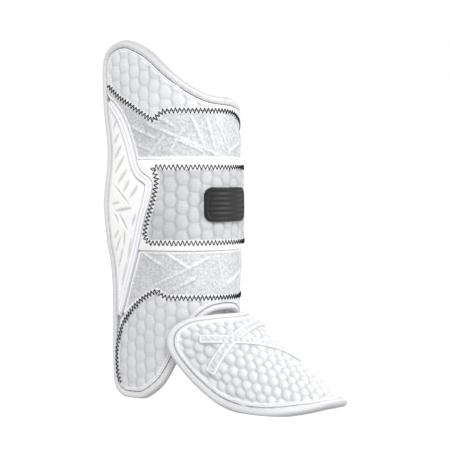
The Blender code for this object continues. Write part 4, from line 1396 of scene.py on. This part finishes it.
@dataclass
class Ridge:
    """A double roll along the edge of a side panel."""

    name: str
    plan: ShinPlan
    marks: Marks
    slot: str
    side: float
    rise: float = 0.0054
    base: float = -0.0030
    round: float = 0.0060

    def body(self) -> Body:
        """Two low rolls with a faint groove between them; painted shade darkens that groove, a crease beside the side
        panel and the far edge.

        At a distance e from an end the height is scaled by 0.55 + 0.45 * sin(quarter turn of e / round).
        """
        centre, half = self.plan.ridge(self.marks, 0.0)
        share = np.linspace(1, -1, 21)
        height = spline(np.abs(share), (0.0, 0.08, 0.25, 0.52, 0.78, 0.93, 1.0), (0.80, 0.85, 0.94, 0.98, 0.92, 0.72, 0.44))
        section = np.concatenate([[[1.0, 0.0]], np.stack([share, height], axis=-1), [[-1.0, 0.0]]])
        aside = side_normals(centre, False) * (half - self.plan.gap / 2)[:, None]
        paths = centre[None] + aside[None] * section[:, :1, None]
        along = lengths(centre)
        from_end = np.minimum(along, along[-1] - along)
        end = 0.55 + 0.45 * np.sin(np.minimum(from_end / self.round, 1.0) * math.pi / 2)
        lifts = self.base + self.rise * section[:, 1:] * end
        girth = lengths(section * [self.plan.ridge_width / 2, self.rise])
        plan = np.stack(np.broadcast_arrays(along[None], girth[:, None]), axis=-1)
        body = roll_body(self.plan.form, paths, lifts, False, plan)
        place = section[:, 0] * self.side
        # Painted shade in a crease beside the side panel and, lighter, along the far edge
        crease_shade = smoothstep(place, 0.62, 0.90) + 0.7 * smoothstep(-place, 0.72, 0.95)
        # Painted shade in the groove between the two rolls
        line = 0.45 * np.exp(-((place / 0.12) ** 2))
        body.tone = np.repeat(crease_shade + line, len(centre))
        return body

    def make(self) -> bpy.types.Object:
        """The ridge as a piece of the scene."""
        return add_piece(f"{self.name}_roll", self.body(), Finishes.RIDGE, [self.name])


def rounded_rectangle(centre: tuple[float, float], width: float, height: float, corner: float) -> Array:
    """Plan loop of a rectangle with rounded corners, anticlockwise."""
    arc = np.linspace(0, math.pi / 2, 9)
    quarter = corner * np.stack([np.cos(arc), np.sin(arc)], axis=-1)
    half = np.array([width / 2 - corner, height / 2 - corner])
    loop = []
    for turn, sign in enumerate(((1, 1), (-1, 1), (-1, -1), (1, -1))):
        cos, sin = round(math.cos(turn * math.pi / 2)), round(math.sin(turn * math.pi / 2))
        loop.append(quarter @ np.array([[cos, sin], [-sin, cos]]) + half * sign)
    return np.concatenate(loop) + centre


@dataclass
class Shin:
    """The shin shell with its pads, ridges, binding, seams and badge."""

    plan: ShinPlan = field(default_factory=ShinPlan)
    pad: float = 0.0030
    shell: float = 0.0070
    band_rise: float = 0.0020
    swell: float = 0.0008

    # Middle line of the zigzag that frames the centre band, in millimetres of the plan
    BAND_STITCH: ClassVar[Marks] = (
        (-86, 245), (0, 245), (82.5, 245), (79, 237), (77.5, 231), (82, 211), (89, 190), (93, 173),
        (88, 166), (0, 166), (-80, 166), (-84, 174), (-84, 190), (-87, 207), (-90, 225), (-90, 240),
    )
    # Middle line of the low zigzag, in millimetres of the plan, from the outer side
    LOW_STITCH: ClassVar[Marks] = (
        (131, 14), (135.5, 24), (137, 36), (137, 50), (134.5, 62), (128, 76), (121.5, 85), (109, 98),
        (94, 109), (79, 116), (72, 110), (64, 108.5), (33, 108.5), (8, 108), (-28, 107.5), (-57, 108.5),
        (-85, 111), (-104, 104), (-109.5, 101.3),
    )
    UPPER_BARS: ClassVar[tuple[tuple[float, float, float, float], ...]] = (
        (88, 290, 10, 257), (108, 287, 82, 276), (92, 252, 70, 276), (63, 262, 50, 284), (57, 274, 30, 262),
        (40, 296, 28, 268), (10, 290, -8, 260), (-6, 262, -62, 284), (-30, 260, -44, 276), (-70, 258, -84, 272),
        (24, 296, 14, 262), (74, 296, 60, 288), (-20, 290, -36, 268), (100, 268, 84, 262),
    )
    OUTER_GROOVES: ClassVar[tuple[tuple[float, float, float, float, float], ...]] = (
        (140, 284, 133, 296, 1.1), (140, 268, 129, 281, 1.3), (139, 251, 125, 269, 1.5),
        (137, 237, 121, 257, 1.6), (132, 227, 117, 243, 1.7), (124, 218, 114, 231, 1.7),
        (114, 212, 102, 226, 1.5), (136, 226, 114, 206, 0.8), (137, 198, 110, 202, 1.3),
        (142, 205, 128, 208, 0.9), (129, 196, 117, 178, 1.2), (137, 196, 130, 186, 1.0),
        (139, 168, 130, 178, 1.0), (143, 130, 140, 150, 1.0), (140, 150, 127, 172, 1.0),
        (134, 136, 124, 160, 1.1), (124, 160, 121, 179, 1.1), (129, 118, 119, 146, 1.2),
        (119, 146, 112, 170, 1.1), (140, 112, 136, 128, 0.9), (112, 182, 106, 196, 1.0),
    )
    INNER_GROOVES: ClassVar[tuple[tuple[float, float, float, float, float], ...]] = (
        (-131, 206, -119, 221, 1.2), (-131, 192, -114, 211, 1.5), (-131, 177, -109, 199, 1.7),
        (-129, 162, -108, 184, 1.6), (-131, 150, -108, 154, 1.2), (-112, 145, -117, 116, 1.1),
        (-119, 144, -123, 108, 1.1), (-127, 140, -129, 104, 1.0), (-119, 112, -124, 92, 1.0),
    )
    LOWER_BARS: ClassVar[tuple[tuple[float, float, float, float], ...]] = (
        (88, 118, 24, 150), (66, 153, 44, 139), (94, 154, 76, 144), (60, 118, 40, 128), (12, 150, 4, 120),
        (-2, 122, -62, 148), (-24, 152, -38, 134), (-76, 150, -88, 134),
    )

    def make(self) -> None:
        """Builds every piece of the shin."""
        form, edge = self.plan.form, self.plan.field()
        loops = self.plan.pads()
        self.lining(form, edge)
        for name, loop in loops.items():
            self.make_pad(name, form, loop, edge)
        thickness = self.pad + self.plan.gap + self.shell + 0.0016
        Binding("shin_binding_tape", form, self.plan.outline(), thickness, "shin_binding_cloth").make(["shin_binding"])
        Topstitch("shin_topstitch", form, inset(edge, 0.0017), 0.0000, "shin_binding_cloth").make()
        Ridge("outer_ridge", self.plan, self.plan.OUTER_RIDGE, "outer_ridge_skin", 1.0).make()
        Ridge("inner_ridge", self.plan, self.plan.INNER_RIDGE, "inner_ridge_skin", -1.0).make()
        self.make_seams(form, edge)
        self.make_badge(form)

    def lining(self, form: ShinForm, edge: Array) -> None:
        """The foam shell with its mesh lining toward the leg."""
        back = -self.pad - self.plan.gap
        quilt = Scales(column=0.021, row=0.024, depth=0.0012, crown=0.0006, groove=0.0016, clear=0.0060)
        pad = Pad(
            "shin_lining", form, edge, back, back - self.shell, Finishes.LINING, "lining_knit", quilt, step=0.0022
        )
        pad.make(["shin_shell"], 0.7)

    def make_pad(self, name: str, form: ShinForm, loop: Array, edge: Array) -> None:
        """One pad of the shin.

        Args:
            name: its node's name.
            form: the shin's form.
            loop: its plan loop.
            edge: the loop inside the binding.
        """
        reliefs: dict[str, tuple[Emboss, Finish, str]] = {
            "top_cap": (Scales(tone=0.48), Finishes.KNIT, "top_cap_knit"),
            "upper_shield": (Bars(self.UPPER_BARS), Finishes.GRAIN, "upper_shield_skin"),
            "centre_band": (self.framed, Finishes.BAND_KNIT, "centre_band_knit"),
            "lower_shield": (Bars(self.LOWER_BARS), Finishes.GRAIN, "lower_shield_skin"),
            "ankle_panel": (Scales(column=0.0126, row=0.0150, depth=0.0008, level=0.2, tone=0.64), Finishes.KNIT, "ankle_panel_knit"),
            "outer_side_panel": (Grooves(self.OUTER_GROOVES), Finishes.RIBBED, "outer_side_skin"),
            "inner_side_panel": (Grooves(self.INNER_GROOVES), Finishes.RIBBED, "inner_side_skin"),
        }
        relief, finish, slot = reliefs[name]
        face = self.band_rise if name == "centre_band" else 0.0
        emboss = relief if name == "centre_band" else Stitched(relief, edge)
        pad = Pad(f"{name}_pad", form, loop, -self.pad, face, finish, slot, emboss, swell=self.swell, edge=0.0008)
        pad.make([name], 0.8)

    def framed(self, plan: Array, rim: Array) -> tuple[Array, Array]:
        """Scales of the centre band inside its zigzag frame, plain outside it."""
        frame_loop = self.band_stitch()
        within = np.where(inside(plan, frame_loop), distance_to(plan, frame_loop, True), 0.0)
        return Scales(column=0.0130, row=0.0156, tone=0.74)(plan, np.minimum(within, rim))

    def band_stitch(self) -> Array:
        """The centre band's zigzag path."""
        return softened(evenly(np.array(self.BAND_STITCH) * 0.001, True, 0.0010), True, 4)

    def make_seams(self, form: ShinForm, edge: Array) -> None:
        """The three black zigzag seams."""
        top = self.plan.seam(self.plan.TOP_SEAM)
        top = top[inside(top, inset(edge, 0.0025))]
        level = 0.0002
        Zigzag("top_zigzag", form, top, False, lambda plan: np.full(len(plan), level), "top_cap_knit").make()
        low = softened(evenly(np.array(self.LOW_STITCH) * 0.001, False, 0.0010), False, 4)
        Zigzag("low_zigzag", form, low, False, lambda plan: np.full(len(plan), level), "ankle_panel_knit").make()
        rise = self.band_rise + self.swell * 0.65
        Zigzag(
            "band_zigzag", form, self.band_stitch(), True, lambda plan: np.full(len(plan), rise), "centre_band_knit"
        ).make()

    def make_badge(self, form: ShinForm) -> None:
        """The plain rubber badge: a raised rim round a sunk panel with level ribs."""
        low = self.band_rise + self.swell + self.plan.gap
        loop = rounded_rectangle((0.0, 0.206), 0.060, 0.036, 0.009)

        def relief(plan: Array, rim: Array) -> tuple[Array, Array]:
            share = smoothstep(rim, 0.0030, 0.0038)
            rib = 0.5 + 0.5 * np.cos((plan[:, 1] - 0.206) / 0.0052 * math.tau)
            return share * (0.00055 * smoothstep(rib, 0.2, 0.8) - 0.0008), share * 0.4

        Pad(
            "front_badge_plate", form, loop, low, low + 0.0020, Finishes.RUBBER, "front_badge_rubber", relief, edge=0.0007,
            step=0.0007,
        ).make(["front_badge"], None)


@dataclass
class Flap:
    """The foot flap with its crossed bars, binding and hinge."""

    shin: ShinForm = field(default_factory=ShinForm)
    form: FlapForm = field(default_factory=FlapForm)
    thickness: float = 0.0070
    binding: float = 0.0082
    gap: float = 0.0006
    bar_width: float = 0.0095
    bar_thickness: float = 0.0014
    hinge_width: float = 0.040
    hinge_thickness: float = 0.0018

    # Half of the outline from the ankle end to the toe end: share of the girth, share of the length
    HALF: ClassVar[Marks] = (
        (0.00, 0.010), (0.27, -0.022), (0.48, -0.065), (0.66, -0.065), (0.82, -0.020), (0.93, 0.055),
        (0.98, 0.150), (0.98, 0.300), (0.92, 0.480), (0.70, 0.710), (0.37, 0.890), (0.12, 0.975),
        (0.00, 0.990),
    )
    BARS: ClassVar[tuple[Marks, ...]] = (((0.76, 0.300), (-0.45, 0.100)), ((0.60, 0.120), (-0.32, 0.520)))

    def outline(self) -> Array:
        """Outer edge of the flap's binding, anticlockwise."""
        scale = np.array([self.form.girth, self.form.crest_rows()[0][-1]])
        half = np.array(self.HALF) * scale
        loop = evenly(smooth_path(np.concatenate([half, half[-2:0:-1] * [-1, 1]]), True), True, 0.0020)
        return loop if signed_area(loop) > 0 else loop[::-1]

    def bars(self) -> Array:
        """Plan loop of the two crossing bars, its corners in order round the middle."""
        scale = np.array([self.form.girth, self.form.crest_rows()[0][-1]])
        sides = []
        for bar in self.BARS:
            line = np.array(bar) * scale
            heading = (line[1] - line[0]) / np.hypot(*(line[1] - line[0]))
            shift = np.array([-heading[1], heading[0]]) * self.bar_width / 2
            sides.append((line + shift, line - shift))
        inner = [self.meeting(one, other) for one in sides[0] for other in sides[1]]
        corners = np.array(inner + [end for pair in sides for line in pair for end in line])
        turn = np.arctan2(*(corners - np.mean(inner, axis=0)).T[::-1])
        return corners[np.argsort(turn)]

    @staticmethod
    def meeting(one: Array, other: Array) -> Array:
        """The point where two straight lines meet; each line is a start and an end point."""
        along, side, apart = one[1] - one[0], other[1] - other[0], other[0] - one[0]
        return one[0] + along * (across(apart, side) / across(along, side))

    def make(self) -> None:
        """Builds every piece of the flap."""
        outline = self.outline()
        edge = inset(outline, self.binding + self.gap)
        scales = Scales(
            column=0.0090, row=0.0118, depth=0.0010, crown=0.0018, groove=0.0009, clear=0.0030, uneven=0.13,
            squeeze=0.9, level=0.8, turn=math.radians(-29), tone=0.52,
        )
        bars = self.bars()
        relief = Stitched(Pressed(scales, bars), edge)
        Pad(
            "foot_flap_pad", self.form, edge, -self.thickness, 0.0, Finishes.FLAP_KNIT, "foot_flap_knit", relief
        ).make(["foot_flap"], 0.8)
        Pad(
            "flap_cross_bars", self.form, bars, self.gap, self.gap + self.bar_thickness, Finishes.BAR_SKIN, "flap_bar_skin",
            Scales(column=0.0052, row=0.0060, depth=0.0004, crown=0.0003, groove=0.0007, clear=0.0020, uneven=0.2, level=1.0),
            edge=0.0013, step=0.0008,
        ).make(["flap_cross_band"], None)
        Binding("flap_binding_tape", self.form, outline, self.thickness + 0.0016, "flap_binding_cloth").make(["flap_binding"])
        Topstitch("flap_topstitch", self.form, inset(edge, 0.0017), 0.0000, "flap_binding_cloth").make()
        self.make_hinge()

    def make_hinge(self) -> None:
        """The hinge cloth between the shell and the flap."""
        form = HingeForm(self.shin)
        length = float(lengths(form.path())[-1])
        half = self.hinge_thickness / 2
        loop = rounded_rectangle((0.0, length / 2), self.hinge_width, length, 0.0015)
        pad = Pad("flap_hinge_cloth", form, loop, -half, half, Finishes.HINGE, "hinge_cloth", hemmed, edge=0.0005, step=0.0011)
        piece = pad.make(["flap_hinge"], None)


@dataclass
class Straps:
    """The two calf straps round the open back."""

    shin: ShinForm = field(default_factory=ShinForm)
    thickness: float = 0.0024
    corner: float = 0.006

    def make(self) -> None:
        """Builds both straps."""
        for name, share, width in (("upper_strap", 0.54, 0.045), ("lower_strap", 0.25, 0.038)):
            form = StrapForm(self.shin, share * self.shin.height, width)
            length = form.length() - self.corner
            loop = rounded_rectangle((length / 2, form.level), length, width, self.corner)
            half = self.thickness / 2
            pad = Pad(
                f"{name}_band", form, loop, -half, half, Finishes.WEBBING, f"{name}_webbing", self.selvedge, edge=0.0008,
                step=0.0018,
            )
            pad.make([name], None)

    @staticmethod
    def selvedge(plan: Array, rim: Array) -> tuple[Array, Array]:
        """Elastic ribs, 0.00016 * cos(turns of height / 0.0044), inside two sewn grooves along the edges; painted shade
        darkens the grooves and the troughs between ribs.
        """
        groove = np.exp(-(((rim - 0.0040) / 0.0009) ** 2))
        rib = 0.5 - 0.5 * np.cos(plan[:, 1] / 0.0044 * math.tau)
        share = smoothstep(rim, 0.0045, 0.0060)
        # The tone is painted shade in the sewn grooves and between the ribs
        return -0.0003 * groove - 0.00032 * rib * share, 0.5 * groove + 0.45 * rib * share


@dataclass
class Studio:
    """Camera, floor and soft light."""

    yaw: float = math.radians(48.0)
    centre: float = 0.04887
    distance: float = 1.5204
    eye: float = 0.237
    pitch: float = math.radians(2.05)
    lens: float = 112.0
    glow: float = 0.72

    def make(self) -> None:
        """Builds the camera, the floor, the light and the sky."""
        self.camera()
        self.floor()
        self.light("key", 0.8, 25.0, (1.3, -1.9, 1.0))
        self.light("fill", 1.4, 50.0, (-1.4, -1.6, 1.9))
        self.light("back", 1.6, 16.0, (0.7, 1.9, 1.3))
        self.sky()
        bpy.context.scene.view_settings.view_transform = "Standard"

    def sky(self) -> None:
        """A white backdrop that lights the guard less than it shows, so that the lamps shade the relief."""
        world = bpy.data.worlds.new("studio_sky")
        world.use_nodes = True
        tree = world.node_tree
        shown = tree.nodes["Background"]
        shown.inputs["Color"].default_value = linear("FFFFFF")
        glow = add_node(tree, "ShaderNodeBackground", {"Color": linear("FFFFFF"), "Strength": self.glow})
        ray = add_node(tree, "ShaderNodeLightPath", {})
        both = add_node(
            tree, "ShaderNodeMixShader", {0: ray.outputs["Is Camera Ray"], 1: glow.outputs[0], 2: shown.outputs[0]}
        )
        tree.links.new(both.outputs[0], tree.nodes["World Output"].inputs["Surface"])
        bpy.context.scene.world = world

    def camera(self) -> None:
        """The camera at the photograph's viewing angle."""
        right = np.array([math.cos(self.yaw), -math.sin(self.yaw), 0.0])
        back = np.array([-math.sin(self.yaw), -math.cos(self.yaw), 0.0])
        place = right * self.centre + back * self.distance + [0.0, 0.0, self.eye]
        data = bpy.data.cameras.new("camera")
        data.lens = self.lens
        data.sensor_width = 36.0
        data.clip_end = 50.0
        camera = bpy.data.objects.new("camera", data)
        camera.location = place.tolist()
        camera.rotation_euler = (math.pi / 2 - self.pitch, 0.0, -self.yaw)
        bpy.context.scene.collection.objects.link(camera)
        bpy.context.scene.camera = camera

    def floor(self) -> None:
        """A plain white floor that glows a little, as a light table does, so that shadows stay faint."""
        half = 6.0
        mesh = bpy.data.meshes.new("floor")
        corners = [(-half, -half, 0.0), (half, -half, 0.0), (half, half, 0.0), (-half, half, 0.0)]
        mesh.from_pydata([(x, y, -0.0002) for x, y, _ in corners], [], [(0, 1, 2, 3)])
        material = bpy.data.materials.new("white_paper")
        material.use_nodes = True
        shader = material.node_tree.nodes["Principled BSDF"]
        shader.inputs["Base Color"].default_value = linear("959595")
        shader.inputs["Emission Color"].default_value = linear("FFFFFF")
        shader.inputs["Emission Strength"].default_value = 0.80
        shader.inputs["Roughness"].default_value = 0.9
        mesh.materials.append(material)
        floor = bpy.data.objects.new("floor", mesh)
        # The floor is seen, but throws no light back up at the guard, which the photograph's undersides lack
        floor.visible_diffuse = False
        bpy.context.scene.collection.objects.link(floor)

    def light(self, name: str, size: float, power: float, place: tuple[float, float, float]) -> None:
        """A square soft light aimed at the guard's middle."""
        data = bpy.data.lights.new(name, "AREA")
        data.size = size
        data.energy = power
        lamp = bpy.data.objects.new(name, data)
        away = np.array(place) - [0.0, -0.05, 0.2]
        away /= np.linalg.norm(away)
        side = np.cross([0.0, 0.0, 1.0], away)
        side /= np.linalg.norm(side)
        up = np.cross(away, side)
        turn = np.eye(4)
        turn[:3, 0], turn[:3, 1], turn[:3, 2], turn[:3, 3] = side, up, away, place
        lamp.matrix_world = Matrix(turn.tolist())
        bpy.context.scene.collection.objects.link(lamp)


def main() -> None:
    """Builds the guard and the studio."""
    logging.basicConfig(level=logging.INFO, format="%(name)s %(message)s")
    shin = Shin()
    shin.make()
    Flap(shin.plan.form).make()
    Straps(shin.plan.form).make()
    Studio().make()


if __name__ == "__main__":
    main()
